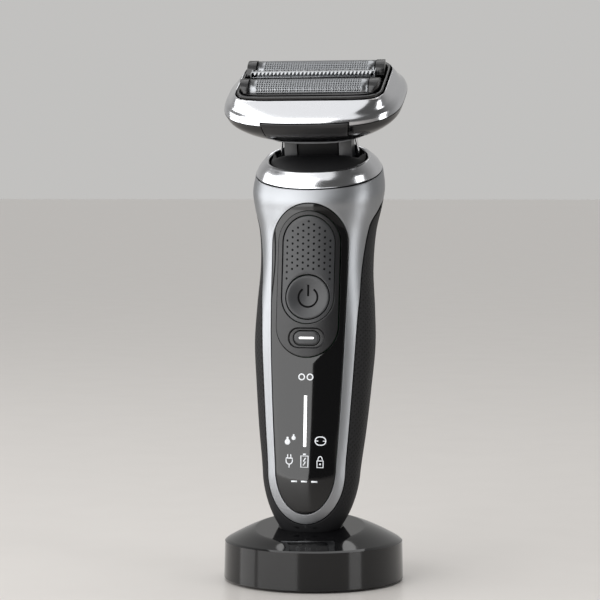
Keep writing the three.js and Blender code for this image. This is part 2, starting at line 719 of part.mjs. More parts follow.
function trimRingSolid() {
  const [openHalf, openDeep] = [cassetteHalf + trim.slackX, cassetteDeep + trim.slackY];
  const section = [
    [head.half, head.deep, 0, head.square],
    [head.half - 0.6, head.deep - 0.7, trim.height * 0.25, head.square],
    [head.half - 2.3, head.deep - 2.5, trim.height * 0.53, 3.2],
    [openHalf + 0.6, openDeep + 0.7, trim.height * 0.95, 5],
    [openHalf + 0.2, openDeep + 0.2, trim.height, 6],
    [openHalf, openDeep, trim.height - 0.3, cassette.square],
    [openHalf, openDeep, 0, cassette.square],
  ];
  const body = sleeve(section.map(([half, deep, z, square]) => ring(headOval(half, deep, square), { z })));
  const besideButton = head.deep * (1 - (release.half / head.half) ** head.square) ** (1 / head.square);
  const notchDeep = besideButton - release.thickness - release.travel - slip;
  const notches = [
    [-reach, -notchDeep],
    [notchDeep, reach],
  ].map((deep) => prism(releaseShape(slip), ...deep));
  return cut(body, ...notches);
}

function releaseSolid(front) {
  const shell = cut(bowlSkin(release.proud), bowlSkin(release.proud - release.thickness));
  const side = front ? [-reach, -head.deep / 2] : [head.deep / 2, reach];
  return shell.intersect(prism(releaseShape(0), ...side));
}

// ---- The drive

const statorSolid = () =>
  block([-stator.half, stator.half], [-stator.deep, stator.deep], [stator.top - stator.height, stator.top]);

function coilSolid() {
  const low = stator.top + gap;
  const [half, deep] = [coil.half - coil.wire, coil.deep - coil.wire];
  return sleeve([
    ring(headOval(coil.half, coil.deep, 4), { z: low }),
    ring(headOval(coil.half, coil.deep, 4), { z: low + coil.height }),
    ring(headOval(half, deep, 4), { z: low + coil.height }),
    ring(headOval(half, deep, 4), { z: low }),
  ]);
}

const drivePins = [
  { y: -foilY, radius: bridgePin.radius },
  { y: foilY, radius: bridgePin.radius },
  { y: 0, radius: bridgePin.trimmerRadius },
];

function bridgeSolid() {
  const top = bridge.low + bridge.thickness;
  const deep = foilY + bridge.edge;
  const plate = block([-bridge.half, bridge.half], [-deep, deep], [bridge.low, top]);
  const pins = drivePins.map(({ y, radius }) => rod(radius, [0, y, bridge.low], [0, y, bridgePin.top], 18));
  return joined(plate, ...pins);
}

function sealSolid() {
  const half = cassetteHalf + trim.slackX - seal.slack;
  const deep = cassetteDeep + trim.slackY - seal.slack;
  const edge = headOval(half, deep, cassette.square);
  const plate = slab(new THREE.Shape(edge), seal.low, seal.low + seal.thickness);
  const slots = drivePins.map(({ y, radius }) => {
    const [along, across] = [radius + bridge.stroke + slip, radius + slip];
    return block([-along, along], [y - across, y + across], [seal.low - 1, seal.low + seal.thickness + 1]);
  });
  return cut(plate, ...slots);
}

// ---- The cassette

function cassetteFrameSolid() {
  const outer = [cassetteHalf, cassetteDeep];
  const inner = [cassetteHalf - cassette.wallX, cassetteDeep - cassette.wallY];
  const at = ([half, deep], z) => ring(headOval(half, deep, cassette.square), { z });
  return sleeve([
    at(outer, cassette.low),
    at(outer, cassette.high),
    at(inner, cassette.high),
    at(inner, cassette.low),
  ]);
}

// A tunnel section: straight legs up from low, and a half circle over them.
function archShape(y, radius, low) {
  const shape = new THREE.Shape();
  shape.moveTo(y + radius, low);
  shape.absarc(y, foil.axis, radius, 0, Math.PI);
  shape.lineTo(y - radius, low);
  return shape;
}


function holderSolid(side) {
  const y = side * foilY;
  const deep = [side * holderBack, side * holderFront].sort((a, b) => a - b);
  const rails = block([-holder.half, holder.half], deep, [holder.low, holder.rail]);
  const cap = archShape(y, foil.radius + holder.capOver, holder.low);
  const caps = cheek(cap, -holder.half, holder.half);
  const rounded = slab(new THREE.Shape(headOval(holder.half, holderFront, cassette.square)), 0, reach);
  const tunnel = cheek(archShape(y, foil.radius + gap, -1), -foil.half - gap, foil.half + gap);
  return cut(joined(rails, caps).intersect(rounded), tunnel);
}

function foilSolid(side) {
  const y = side * foilY;
  const outer = cheek(archShape(y, foil.radius, holder.low + holder.foilFoot), -foil.half, foil.half);
  const inner = cheek(archShape(y, foil.radius - foil.thickness, -1), -reach, reach);
  return cut(outer, inner);
}

function cutterSolid(side) {
  const y = side * foilY;
  const radius = foil.radius - foil.thickness - cutter.gap;
  const body = cheek(archShape(y, radius, cutter.low), -cutter.half, cutter.half);
  return cut(body, rod(bridgePin.radius + slip, [0, y, 0], [0, y, cutter.pocketTop]));
}

function trimmerCombSolid() {
  const [half, deep] = [trimmer.half - trimmer.wall, trimmer.deep - trimmer.wall];
  const height = [trimmer.low, trimmer.top];
  const body = block([-trimmer.half, trimmer.half], [-trimmer.deep, trimmer.deep], height);
  const channel = block([-half, half], [-deep, deep], [0, trimmer.top - trimmer.roof]);
  const teeth = Math.floor((2 * half - comb.pitch) / comb.pitch);
  const slots = Array.from({ length: teeth }, (_, i) => {
    const x = (i - (teeth - 1) / 2) * comb.pitch;
    const slotHeight = [trimmer.top - comb.slotDeep, trimmer.top + 1];
    return block([x - comb.slot, x + comb.slot], [-reach, reach], slotHeight);
  });
  return cut(body, channel, ...slots);
}

function trimmerBladeSolid() {
  const deep = trimmer.deep - trimmer.wall - slip;
  const half = trimmer.half - trimmer.wall - bridge.stroke - slip;
  const height = [trimmer.low + trimmer.bladeUp, trimmer.top - trimmer.roof - slip];
  const body = block([-half, half], [-deep, deep], height);
  const pocket = rod(bridgePin.trimmerRadius + gap, [0, 0, 0], [0, 0, bridgePin.top + trimmer.travel + slip]);
  return cut(body, pocket);
}

// ---- The stand

function standRing(share, inset, count) {
  const mix = (a, b) => a + (b - a) * share;
  const rise = 1 - (1 - share) ** stand.domeBulge;
  const radius = mix(stand.radius - stand.draft, stand.plateauRadius) - inset;
  return ring(oval({ half: radius, front: radius }, count), {
    y: stand.plateauY * share,
    z: stand.wallHeight + (stand.plateauHeight - stand.wallHeight) * rise - inset,
    tilt: stand.plateauTilt * share,
  });
}

function standSkin(inset) {
  const count = inset ? 32 : 44;
  const radius = stand.radius - inset;
  const bottom = ring(oval({ half: radius, front: radius }, count), { z: stand.lift - inset });
  return loft([bottom, ...[0, 0.25, 0.5, 0.75, 1].map((share) => standRing(share, inset, count))]);
}

const screwPlaces = [30, 150, 270].map((turn) => [
  (stand.radius - standScrew.inset) * Math.cos(radians(turn)),
  (stand.radius - standScrew.inset) * Math.sin(radians(turn)),
]);
const plateLow = foot.height + gap;
const plateTop = plateLow + basePlate.thickness;

// A short upright cylinder at each screw, of a radius and between two heights.
const atScrews = (radius, low, high) =>
  screwPlaces.map(([x, y]) => rod(radius, [x, y, low], [x, y, high], 16));

function standShellSolid() {
  const body = standSkin(0);
  const bosses = atScrews(standScrew.boss, plateTop + gap, reach).map((boss) => boss.intersect(body));
  const cup = placed(handleSkin(stand.pocketGap + stand.wall), handlePlace).intersect(body);
  const pocket = placed(handleSkin(stand.pocketGap), handlePlace);
  const [half, deep] = [plug.half + gap, plug.deep + gap];
  const plugHole = placed(block([-half, half], [-deep, deep], [-8, 4]), handlePlace);
  const window = block([-inlet.half, inlet.half], [0, reach], [inlet.low, inlet.high]);
  const screwHoles = atScrews(standScrew.shank + gap, 0, plateLow + standScrew.length + 1);
  const hollow = cut(body, standSkin(stand.wall));
  const back = block([-reach, reach], [inletBack, reach], [-reach, reach]);
  return cut(joined(hollow, cup, ...bosses), pocket, plugHole, window.intersect(back), ...screwHoles);
}

function basePlateSolid() {
  const plate = slab(disc(stand.radius - stand.wall - gap), plateLow, plateTop);
  const holes = atScrews(standScrew.shank + gap, 0, plateTop + 1);
  const seats = atScrews(standScrew.head + gap, 0, plateLow + standScrew.headHeight + gap);
  return cut(plate, ...holes, ...seats);
}

function footRingSolid() {
  const at = (radius, z) => ring(oval({ half: radius, front: radius }, 32), { z });
  const outer = stand.radius - foot.inset;
  const inner = outer - foot.width;
  return sleeve([at(outer, 0), at(outer, foot.height), at(inner, foot.height), at(inner, 0)]);
}

function screwSolid([x, y]) {
  const headTop = plateLow + standScrew.headHeight;
  const shank = rod(standScrew.shank, [x, y, plateLow + 0.2], [x, y, plateLow + standScrew.length], 14);
  return joined(rod(standScrew.head, [x, y, plateLow], [x, y, headTop], 18), shank);
}

function standBoardSolid() {
  const [half, deep] = [stand.radius - standBoard.insetX, stand.radius - standBoard.insetY];
  return block([-half, half], [-deep, deep], [plateTop + gap, plateTop + gap + standBoard.thickness]);
}

// The plug stands up the handle's own axis, so it's made in the handle's frame.
function plugSolid() {
  const under = -stand.pocketGap - stand.wall - gap;
  const post = block([-plug.half, plug.half], [-plug.deep, plug.deep], [under - 0.5, plug.top]);
  const flange = block(
    [-plug.flangeHalf, plug.flangeHalf],
    [-plug.flangeDeep, plug.flangeDeep],
    [under - plug.flangeHeight, under],
  );
  const holes = [-1, 1].map((side) => socketRod(side, socketPin.radius + slip, socketPin.low - slip, reach));
  return cut(joined(post, flange), ...holes);
}

// The inlet's mouth lies just inside the stand's wall, whose inner face curves away from it.
const inletOuterHalf = inlet.half + inlet.wall;
const standInner = stand.radius - stand.draft - stand.wall;
const inletMouth = Math.sqrt(standInner ** 2 - inletOuterHalf ** 2) - gap;
const inletBack = inletMouth - inlet.depth;

function inletSolid() {
  const low = Math.max(plateTop + gap, inlet.low - inlet.wall);
  const body = block(
    [-inletOuterHalf, inletOuterHalf],
    [inletBack - inlet.wall, inletMouth],
    [low, inlet.high + inlet.wall],
  );
  const recess = block([-inlet.half, inlet.half], [inletBack, reach], [inlet.low, inlet.high]);
  const z = (inlet.low + inlet.high) / 2;
  const bores = [-inletPin.place, inletPin.place].map((x) =>
    rod(inletPin.radius + gap, [x, 0, z], [x, inletBack + 1, z], 14),
  );
  return cut(body, recess, ...bores);
}

function inletPinSolid(side) {
  const [x, z] = [side * inletPin.place, (inlet.low + inlet.high) / 2];
  return rod(inletPin.radius, [x, inletBack - inlet.wall, z], [x, inletBack + inletPin.length, z], 14);
}

// ---- Assembly

function frameIn(parent, { y, z, tilt }) {
  const frame = new THREE.Group();
  frame.position.set(0, y, z);
  frame.rotation.x = radians(tilt);
  parent.add(frame);
  return frame;
}

const sides = [
  ["left", -1],
  ["right", 1],
];

function addStand(world, upHandle) {
  piece(world, "stand_shell", "glossBlack", standShellSolid());
  piece(world, "stand_base_plate", "mattBlack", basePlateSolid());
  piece(world, "stand_foot_ring", "rubber", footRingSolid());
  piece(world, "stand_board", "circuit", standBoardSolid());
  piece(world, "power_inlet", "mattBlack", inletSolid());
  for (const [name, side] of sides) piece(world, "inlet_pin_" + name, "brass", inletPinSolid(side));
  screwPlaces.forEach((place, i) => piece(world, "stand_screw_" + (i + 1), "steel", screwSolid(place)));
  piece(upHandle, "charging_plug", "mattBlack", plugSolid());
}

function addHandle(frame) {
  piece(frame, "front_frame", "satinMetal", frontFrameSolid());
  piece(frame, "rear_grip", "rubber", rearGripSolid());
  piece(frame, "display_lens", "glossBlack", lensSolid());
  piece(frame, "button_bezel", "satinBlack", bezelSolid());
  piece(frame, "thumb_pad", "satinBlack", padSolid());
  piece(frame, "power_button", "satinBlack", powerButtonSolid());
  piece(frame, "mode_button", "satinBlack", modeButtonSolid());
  piece(frame, "mode_light", "whiteLight", modeLightSolid());
}

function addElectronics(frame) {
  piece(frame, "main_board", "circuit", mainBoardSolid());
  piece(frame, "power_switch", "mattBlack", switchSolid(switches.half, powerHeight));
  piece(frame, "mode_switch", "mattBlack", switchSolid(switches.modeHalf, modeHeight));
  piece(frame, "display_board", "circuit", displayBoardSolid());
  piece(frame, "light_guide", "whiteLight", lightGuideSolid());
  piece(frame, "inner_chassis", "mattBlack", chassisSolid());
  piece(frame, "battery_cell", "cell", batterySolid());
  piece(frame, "battery_tab_top", "steel", batteryTabSolid(battery.low + battery.length + gap));
  piece(frame, "battery_tab_bottom", "steel", batteryTabSolid(battery.low - gap - battery.tab));
  piece(frame, "charging_socket", "mattBlack", socketSolid());
  for (const [name, side] of sides) piece(frame, "socket_pin_" + name, "brass", socketPinSolid(side));
}

function addNeck(frame) {
  piece(frame, "collar_ring", "chrome", collarRingSolid());
  piece(frame, "neck_boot", "mattBlack", bootSolid());
  piece(frame, "neck_base", "mattBlack", neckBaseSolid());
  piece(frame, "rock_pin", "steel", rockPinSolid());
  piece(frame, "neck_yoke", "greyPlastic", yokeSolid());
  piece(frame, "neck_core", "mattBlack", neckCoreSolid());
  for (const [name, side] of sides) piece(frame, "return_spring_" + name, "steel", wireSolid(side));
}

function addHead(frame) {
  const axleEnds = [[-axle.half, 0, -axle.drop], [axle.half, 0, -axle.drop]];
  piece(frame, "head_housing", "glossBlack", headHousingSolid());
  piece(frame, "head_trim_ring", "chrome", trimRingSolid());
  piece(frame, "head_base_tray", "greyPlastic", headTraySolid());
  piece(frame, "tilt_axle", "steel", rod(axle.radius, ...axleEnds));
  piece(frame, "release_button_front", "satinBlack", releaseSolid(true));
  piece(frame, "release_button_rear", "satinBlack", releaseSolid(false));
  piece(frame, "drive_stator", "steel", statorSolid());
  piece(frame, "drive_coil", "copper", coilSolid());
  piece(frame, "drive_bridge", "greyPlastic", bridgeSolid());
  piece(frame, "drive_seal", "rubber", sealSolid());
}

function addCassette(frame) {
  piece(frame, "cassette_frame", "mattBlack", cassetteFrameSolid());
  for (const [name, side] of [["front", -1], ["rear", 1]]) {
    piece(frame, name + "_foil_holder", "mattBlack", holderSolid(side));
    piece(frame, name + "_foil", "foilSteel", foilSolid(side));
    piece(frame, name + "_cutter", "steel", cutterSolid(side));
  }
  piece(frame, "trimmer_comb", "steel", trimmerCombSolid());
  piece(frame, "trimmer_blade", "steel", trimmerBladeSolid());
}

const shaver = new THREE.Group();
const handleFrame = frameIn(shaver, { y: handle.tipY, z: handle.tipHeight, tilt: -handle.lean });
const collarFrame = frameIn(handleFrame, { y: collar.y, z: handle.length, tilt: collar.tilt });
const headFrame = frameIn(collarFrame, { y: head.y, z: head.height, tilt: head.tilt });
addStand(shaver, handleFrame);
addHandle(handleFrame);
addElectronics(handleFrame);
addNeck(collarFrame);
addHead(headFrame);
addCassette(headFrame);

export default shaver;
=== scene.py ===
from math import asin, atan2, copysign, cos, degrees, exp, hypot, pi, radians, sin, sqrt

import bmesh
import bpy
from mathutils import Matrix, Vector


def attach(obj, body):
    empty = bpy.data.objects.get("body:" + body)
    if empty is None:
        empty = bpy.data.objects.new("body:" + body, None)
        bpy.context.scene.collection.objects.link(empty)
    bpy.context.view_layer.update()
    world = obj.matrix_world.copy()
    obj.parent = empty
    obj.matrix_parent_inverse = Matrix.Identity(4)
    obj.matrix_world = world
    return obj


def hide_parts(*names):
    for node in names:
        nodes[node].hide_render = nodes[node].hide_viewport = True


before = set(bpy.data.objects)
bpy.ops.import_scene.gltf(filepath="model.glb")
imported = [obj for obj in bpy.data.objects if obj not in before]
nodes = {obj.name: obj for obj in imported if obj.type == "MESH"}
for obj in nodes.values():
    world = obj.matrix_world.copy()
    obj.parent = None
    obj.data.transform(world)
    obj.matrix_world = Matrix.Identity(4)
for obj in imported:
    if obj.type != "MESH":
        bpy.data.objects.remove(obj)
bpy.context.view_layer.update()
mm = 0.001
scene = bpy.context.scene


# Camera: a long lens a little above the stand, turned to the shaver's right

view = {"distance": 750, "height": 130, "turn": 12, "down": 2.8, "aside": 0.35, "lens": 135, "sensor": 36}


def addCamera():
    data = bpy.data.cameras.new("camera")
    data.lens = view["lens"]
    data.sensor_width = view["sensor"]
    data.clip_end = 50
    camera = bpy.data.objects.new("camera", data)
    turn = radians(view["turn"])
    far = view["distance"] * mm
    camera.location = (far * sin(turn), -far * cos(turn), view["height"] * mm)
    camera.rotation_euler = (radians(90 - view["down"]), 0, radians(view["turn"] + view["aside"]))
    scene.collection.objects.link(camera)
    scene.camera = camera


addCamera()


# The frames that the CAD parts are placed in

def turned(tilt, y, z):
    return Matrix.Translation((0, y, z)) @ Matrix.Rotation(radians(tilt), 4, "X")


handle = {
    "length": 126, "roundTip": 24, "tipPower": 1.8, "bendFrom": 0.762, "bendPower": 1.3,
    "tipY": -7, "tipHeight": 11.4, "lean": 7.8, "collarY": -1.1, "collarTilt": 29.8,
    "square": 2.2, "squareMore": 0.3, "core": (0, 0, 70),
}
handlePlace = turned(-handle["lean"], handle["tipY"], handle["tipHeight"])
collarPlace = handlePlace @ turned(handle["collarTilt"], handle["collarY"], handle["length"])
headTurn = {"tilt": 7, "y": 3.8, "up": 24.9}
headPlace = collarPlace @ turned(*headTurn.values())
world = Matrix.Identity(4)


# Mesh helpers. Shapes are made in millimetres and placed by one matrix.

def loopGrid(rows, closed=True):
    bm = bmesh.new()
    across = len(rows[0]) + (1 if closed else 0)
    bmesh.ops.create_grid(bm, x_segments=across - 1, y_segments=len(rows) - 1, size=1)
    bm.verts.ensure_lookup_table()
    for i, vert in enumerate(bm.verts):
        row, column = divmod(i, across)
        vert.co = rows[row][column % len(rows[0])]
    bmesh.ops.remove_doubles(bm, verts=bm.verts, dist=1e-5)
    return bm


def faceOut(bm, middle):
    bmesh.ops.recalc_face_normals(bm, faces=bm.faces)
    lean = sum((f.calc_center_median() - Vector(middle)).dot(f.normal) * f.calc_area() for f in bm.faces)
    if lean < 0:
        bmesh.ops.reverse_faces(bm, faces=bm.faces)


def centre(face):
    return face.calc_center_median()


# Cuts only these faces along a plane.
def cutAlong(bm, faces, point, normal):
    edges, verts = [e for f in faces for e in f.edges], [v for f in faces for v in f.verts]
    bmesh.ops.bisect_plane(bm, geom=list(dict.fromkeys([*faces, *edges, *verts])), plane_co=point,
                           plane_no=normal, dist=1e-4)


def cutOut(bm, faces):
    bmesh.ops.delete(bm, geom=faces, context="FACES")


# Draws the faces out along a vector, with walls behind them.
def drawOut(bm, faces, vector):
    grown = bmesh.ops.extrude_face_region(bm, geom=faces)
    bmesh.ops.translate(bm, vec=vector, verts=[v for v in grown["geom"] if isinstance(v, bmesh.types.BMVert)])


def addBlock(bm, middle, size):
    made = bmesh.ops.create_cube(bm, size=1)
    shape = Matrix.Translation(middle) @ Matrix.Diagonal((*size, 1))
    bmesh.ops.transform(bm, matrix=shape, verts=made["verts"])


def piece(bm, name, body, slot, material, place=world, replaced=(), wall=0, bevel=0, segments=2,
          smooth=35, middle=None, bevelAngle=30):
    if middle is not None:
        faceOut(bm, middle)
    bmesh.ops.transform(bm, matrix=Matrix.Scale(mm, 4) @ place, verts=bm.verts)
    mesh = bpy.data.meshes.new(name)
    bm.to_mesh(mesh)
    bm.free()
    made = bpy.data.objects.new(name, mesh)
    scene.collection.objects.link(made)
    mesh.materials.append(material)
    mesh.polygons.foreach_set("use_smooth", [True] * len(mesh.polygons))
    mesh.set_sharp_from_angle(angle=radians(smooth))
    if wall:
        thick = made.modifiers.new("wall", "SOLIDIFY")
        thick.thickness = wall * mm
        thick.offset = -1
    if bevel:
        rounding = made.modifiers.new("rounding", "BEVEL")
        rounding.width = bevel * mm
        rounding.segments = segments
        rounding.limit_method = "ANGLE"
        rounding.angle_limit = radians(bevelAngle)
    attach(made, body)
    if replaced:
        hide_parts(*replaced)
    return made


# A rounded copy of a CAD part: flat faces are joined first, then its edges are bevelled.
def softened(node, body, slot, material, width, segments=2, angle=28):
    bm = bmesh.new()
    bm.from_mesh(nodes[node].data)
    bmesh.ops.remove_doubles(bm, verts=bm.verts, dist=2e-6)
    bmesh.ops.dissolve_limit(bm, angle_limit=radians(1), verts=bm.verts, edges=bm.edges)
    sharp = [e for e in bm.edges if len(e.link_faces) == 2 and e.calc_face_angle(0) > radians(angle)]
    bmesh.ops.bevel(bm, geom=sharp, offset=width * mm, offset_type="OFFSET", segments=segments, profile=0.5,
                    affect="EDGES", clamp_overlap=True, material=-1)
    bmesh.ops.transform(bm, matrix=Matrix.Scale(1 / mm, 4), verts=bm.verts)
    piece(bm, node + "_rounded", body, slot, material, replaced=[node])


# A level ring of points between an ellipse, where square is 2, and a rectangle
def oval(half, front, back, square, count):
    points = []
    for i in range(count):
        turn = 2 * pi * i / count
        c, s = cos(turn), sin(turn)
        deep = front if s < 0 else back
        points.append(Vector((half * copysign(abs(c) ** (2 / square), c),
                              deep * copysign(abs(s) ** (2 / square), s), 0)))
    return points


def raised(points, z, y=0.0, tilt=0.0):
    lean = turned(tilt, y, z)
    return [lean @ p for p in points]


# A smooth curve through stations: each row is a place and then its values.
def curveThrough(stations):
    def at(place):
        if place <= stations[0][0]:
            return stations[0][1:]
        if place >= stations[-1][0]:
            return stations[-1][1:]
        k = max(i for i, s in enumerate(stations) if s[0] <= place)
        t0, t1 = stations[k][0], stations[k + 1][0]
        prev = stations[k - 1] if k else stations[k + 1]
        last = k + 2 >= len(stations)
        after = stations[k] if last else stations[k + 2]
        wPrev = (t1 - t0) / 2 / (t0 - prev[0])
        wNext = (t1 - t0) / 2 / (after[0] - t1)
        p = (place - t0) / (t1 - t0)
        a = -wPrev * p ** 3 + 2 * wPrev * p ** 2 - wPrev * p
        b = (1 + wPrev) * p ** 3 + (-1.5 - 2 * wPrev) * p ** 2 + (-0.5 + wPrev) * p + 1
        c = (-1 - wNext) * p ** 3 + (1.5 + wNext) * p ** 2 + 0.5 * p
        d = wNext * p ** 3 - wNext * p ** 2
        return [a * q + b * r + c * s + d * u for q, r, s, u in
                zip(prev[1:], stations[k][1:], stations[k + 1][1:], after[1:])]
    return at


# The handle's form: share of the length, half width, depth in front and behind
handleAt = curveThrough([[share * handle["length"], *sizes] for share, *sizes in [
    [0, 15.7, 11.2, 11.8], [0.19, 16.2, 11.4, 12.8], [0.317, 17.95, 12.1, 14.1], [0.43, 19.2, 13, 15.2],
    [0.54, 20.15, 13.9, 16], [0.635, 19.7, 14.2, 15.6], [0.746, 18.85, 14.5, 14.5], [0.841, 19.6, 14.8, 14.8],
    [0.905, 21.4, 15.6, 16], [0.952, 22.3, 16.6, 16.9], [1, 21.5, 17, 17],
]])
# How much rubber shows beside the metal, from the front
gripAt = curveThrough([[share * handle["length"], shown] for share, shown in [
    [0.2, 3.3], [0.33, 4], [0.425, 4.25], [0.552, 4.35], [0.68, 2.7], [0.774, 1.7], [0.837, 1.3],
    [0.87, 1.1], [0.9, 0.3], [0.94, -0.4], [1, -2],
]])


def leanAt(height):
    start = handle["bendFrom"] * handle["length"]
    return min(1, max(0, (height - start) / (handle["length"] - start)) ** handle["bendPower"])


def sectionAt(height, out):
    half, front, back = handleAt(max(0, height))
    left = 1 - min(1, max(0, (height + out) / (handle["roundTip"] + out)))
    share = (1 - left ** handle["tipPower"]) ** (1 / handle["tipPower"])
    along = min(1, max(0, height) / handle["length"])
    square = handle["square"] + handle["squareMore"] * sin(pi * along)
    return (half + out) * share, (front + out) * share, (back + out) * share, square


# A point of the handle's surface: turn is 0 in front, 90 at the right side and 180 behind.
def skinPoint(turn, height, out=0.0):
    half, front, back, square = sectionAt(height, out)
    s, c = sin(radians(turn)), cos(radians(turn))
    x = half * copysign(abs(s) ** (2 / square), s)
    y = -(front if c > 0 else back) * copysign(abs(c) ** (2 / square), c)
    tilt = radians(handle["collarTilt"] * leanAt(height))
    return Vector((x, handle["collarY"] * leanAt(height) + y * cos(tilt), height + y * sin(tilt)))


# The turn and height of the surface point, moved out, that the front view shows at x and z. The leaning
# sections put a point lower than its height says, so the height is closed in on.
def skinOf(x, z, out=0.0):
    height = z
    for _ in range(14):
        half, front, _, square = sectionAt(height, out)
        share = min(1, abs(x) / half) if half else 1
        y = -front * (1 - share ** square) ** (1 / square)
        height = z - y * sin(radians(handle["collarTilt"] * leanAt(height)))
    turn = degrees(asin(min(1, share ** (square / 2))))
    return copysign(turn, x), height


def frontPoint(x, z, out=0.0):
    return skinPoint(*skinOf(x, z, out), out)


# The height between low and high at which a rising point goes past a tilted plane, or past a rise over it
def crossing(pointAt, low, high, tilt, middle, rise=0.0):
    normal = Matrix.Rotation(radians(tilt), 4, "X") @ Vector((0, 0, 1))
    for _ in range(30):
        height = (low + high) / 2
        above = (pointAt(height) - Vector(middle)).dot(normal) > rise
        low, high = (low, height) if above else (height, high)
    return height


# Outlines in the front view, each in four parts that match each other: top, left, bottom and right

steps = {"arc": 56, "side": 40, "shoulder": 18, "end": 14}


def arc(middle, radius, start, end, count, high=None):
    points = []
    for i in range(count):
        turn = radians(start + (end - start) * i / count)
        points.append((radius * cos(turn), middle + (radius if high is None else high) * sin(turn)))
    return points


def between(start, end, t):
    return [a + (b - a) * t for a, b in zip(start, end)]


def line(start, end, count):
    return [between(start, end, i / count) for i in range(count)]


# The sides may take in a part of the bottom's round, in degrees, so that they match a longer outline.
def capsule(half, low, high, taken=0, straight=steps["side"]):
    n, m = steps["arc"], steps["side"]
    top, bottom = high - half, low + half
    return (arc(top, half, 0, 180, n) + line((-half, top), (-half, bottom), straight)
            + arc(bottom, half, 180, 180 + taken, m - straight)
            + arc(bottom, half, 180 + taken, 360 - taken, n)
            + arc(bottom, half, 360 - taken, 360, m - straight) + line((half, bottom), (half, top), straight))


def circle(radius, middle, shoulder=50):
    n, m = steps["arc"], steps["side"]
    return (arc(middle, radius, shoulder, 180 - shoulder, n) + arc(middle, radius, 180 - shoulder, 180, m)
            + arc(middle, radius, 180, 360, n) + arc(middle, radius, 0, shoulder, m))


lens = {"low": 11, "roundTo": 26, "top": 113, "half": 12.7, "lowHalf": 10, "thickness": 1.2, "edge": 0.16}


def lensOutline(inset):
    n, m, low = steps["arc"], steps["side"], lens["roundTo"]
    half, lowHalf = lens["half"] - inset, lens["lowHalf"] - inset
    top = lens["top"] - lens["half"]
    left = [((half - lowHalf) * (i / m) ** 2 - half, top + (low - top) * i / m) for i in range(m)]
    right = [(-x, z) for x, z in reversed(left[1:] + [(-lowHalf, low)])]
    return arc(top, half, 0, 180, n) + left + arc(low, lowHalf, 180, 360, n, low - lens["low"] - inset) + right


# Closed rings of points, each ring between two outlines, with an out distance for each outline
def panelRings(outlines, counts):
    rings = []
    for (inner, low), (outer, high), count in zip(outlines, outlines[1:], counts):
        for i in range(1 if rings else 0, count + 1):
            rings.append([frontPoint(*between((*a, low), (*b, high), i / count)) for a, b in zip(inner, outer)])
    return rings


# A piece that follows the handle's surface and stands for one CAD part
def plate(bm, name, body, slot, material, node, **finish):
    piece(bm, name, body, slot, material, handlePlace, [node], middle=handle["core"],
          **{"smooth": 50, "segments": 3, **finish})


# Materials

def linear(hexColour):
    channels = [int(hexColour[i:i + 2], 16) / 255 for i in (1, 3, 5)]
    return [c / 12.92 if c <= 0.04045 else ((c + 0.055) / 1.055) ** 2.4 for c in channels] + [1]


# A setting or a link goes to the socket of its name or number, as in 6 or in6. A link from a node starts at
# the first output that it uses.
def addNode(tree, kind, settings=None, **links):
    node = tree.nodes.new("ShaderNode" + kind)
    for key, value in (settings or {}).items():
        if isinstance(key, int) or key in node.inputs:
            node.inputs[key].default_value = value
        else:
            setattr(node, key, value)
    connect(tree, node, links)
    return node


def connect(tree, node, links):
    for key, source in links.items():
        if isinstance(source, bpy.types.Node):
            source = next(o for o in source.outputs if o.enabled)
        tree.links.new(source, node.inputs[int(key[2:]) if key.startswith("in") else key.replace("_", " ")])


def newMaterial(name, colour, roughness, metallic=0.0, **sockets):
    material = bpy.data.materials.new(name)
    material.use_nodes = True
    tree = material.node_tree
    values = {"Base Color": linear(colour), "Roughness": roughness, "Metallic": metallic, **sockets}
    for key, value in values.items():
        tree.nodes["Principled BSDF"].inputs[key.replace("_", " ")].default_value = value
    return material, tree


def feed(tree, **sources):
    connect(tree, tree.nodes["Principled BSDF"], sources)


cloudSize = 22  # mm across the slow changes of tint


# Slow changes of tint, and one fine grain in roughness and height. Sizes and heights are in millimetres.
def grained(name, colour, dark, roughness, spread, size, height, metallic=0.0, stretch=(1, 1, 1), **sockets):
    material, tree = newMaterial(name, colour, roughness, metallic, **sockets)
    place = addNode(tree, "TexCoord").outputs["Object"]
    scaled = addNode(tree, "Mapping", {"Scale": stretch}, Vector=place)
    noise = addNode(tree, "TexNoise", {"Scale": 1 / (size * mm), "Detail": 4.0}, Vector=scaled)
    cloud = addNode(tree, "TexNoise", {"Scale": 1 / (cloudSize * mm), "Detail": 3.0}, Vector=place)
    tint = addNode(tree, "Mix", {"data_type": "RGBA", 6: linear(dark), 7: linear(colour)}, in0=cloud)
    rough = addNode(tree, "MapRange", {"To Min": roughness - spread, "To Max": roughness + spread},
                    Value=noise)
    bump = addNode(tree, "Bump", {"Distance": height * mm}, Height=noise)
    feed(tree, Base_Color=tint, Roughness=rough, Normal=bump)
    return material


# Painted aluminium, bead blasted and clear coated: an even silver with a soft broad highlight
satinSilver = grained("satin_blasted_aluminium", "#9a9c9f", "#929497", 0.4, 0.03, 0.25, 0.0008, 1.0)
# Chrome plated ABS: a clean mirror, with the faintest waves of the moulding under it
chromePlate = grained("chrome_plated_abs", "#d2d3d6", "#c9cacd", 0.17, 0.02, 9, 0.004, 1.0)
# Polished high-gloss black ABS: sharp reflections, faint dust and hairlines in the roughness
pianoBlack = grained("gloss_black_moulded_abs", "#0a0a0c", "#070708", 0.07, 0.02, 14, 0.003)
# Hard-coated acrylic over black print: the deepest gloss on the shaver
lensAcrylic = grained("hard_coated_black_acrylic", "#070708", "#050506", 0.055, 0.012, 16, 0.002)
# Spark-eroded ABS: a fine even satin that breaks reflections into a sheen
satinAbs = grained("spark_eroded_black_abs", "#131315", "#101012", 0.33, 0.06, 0.35, 0.004)
# The buttons' softer, darker finish
buttonAbs = grained("satin_dark_button_abs", "#2e2f31", "#28292b", 0.36, 0.05, 0.35, 0.003)
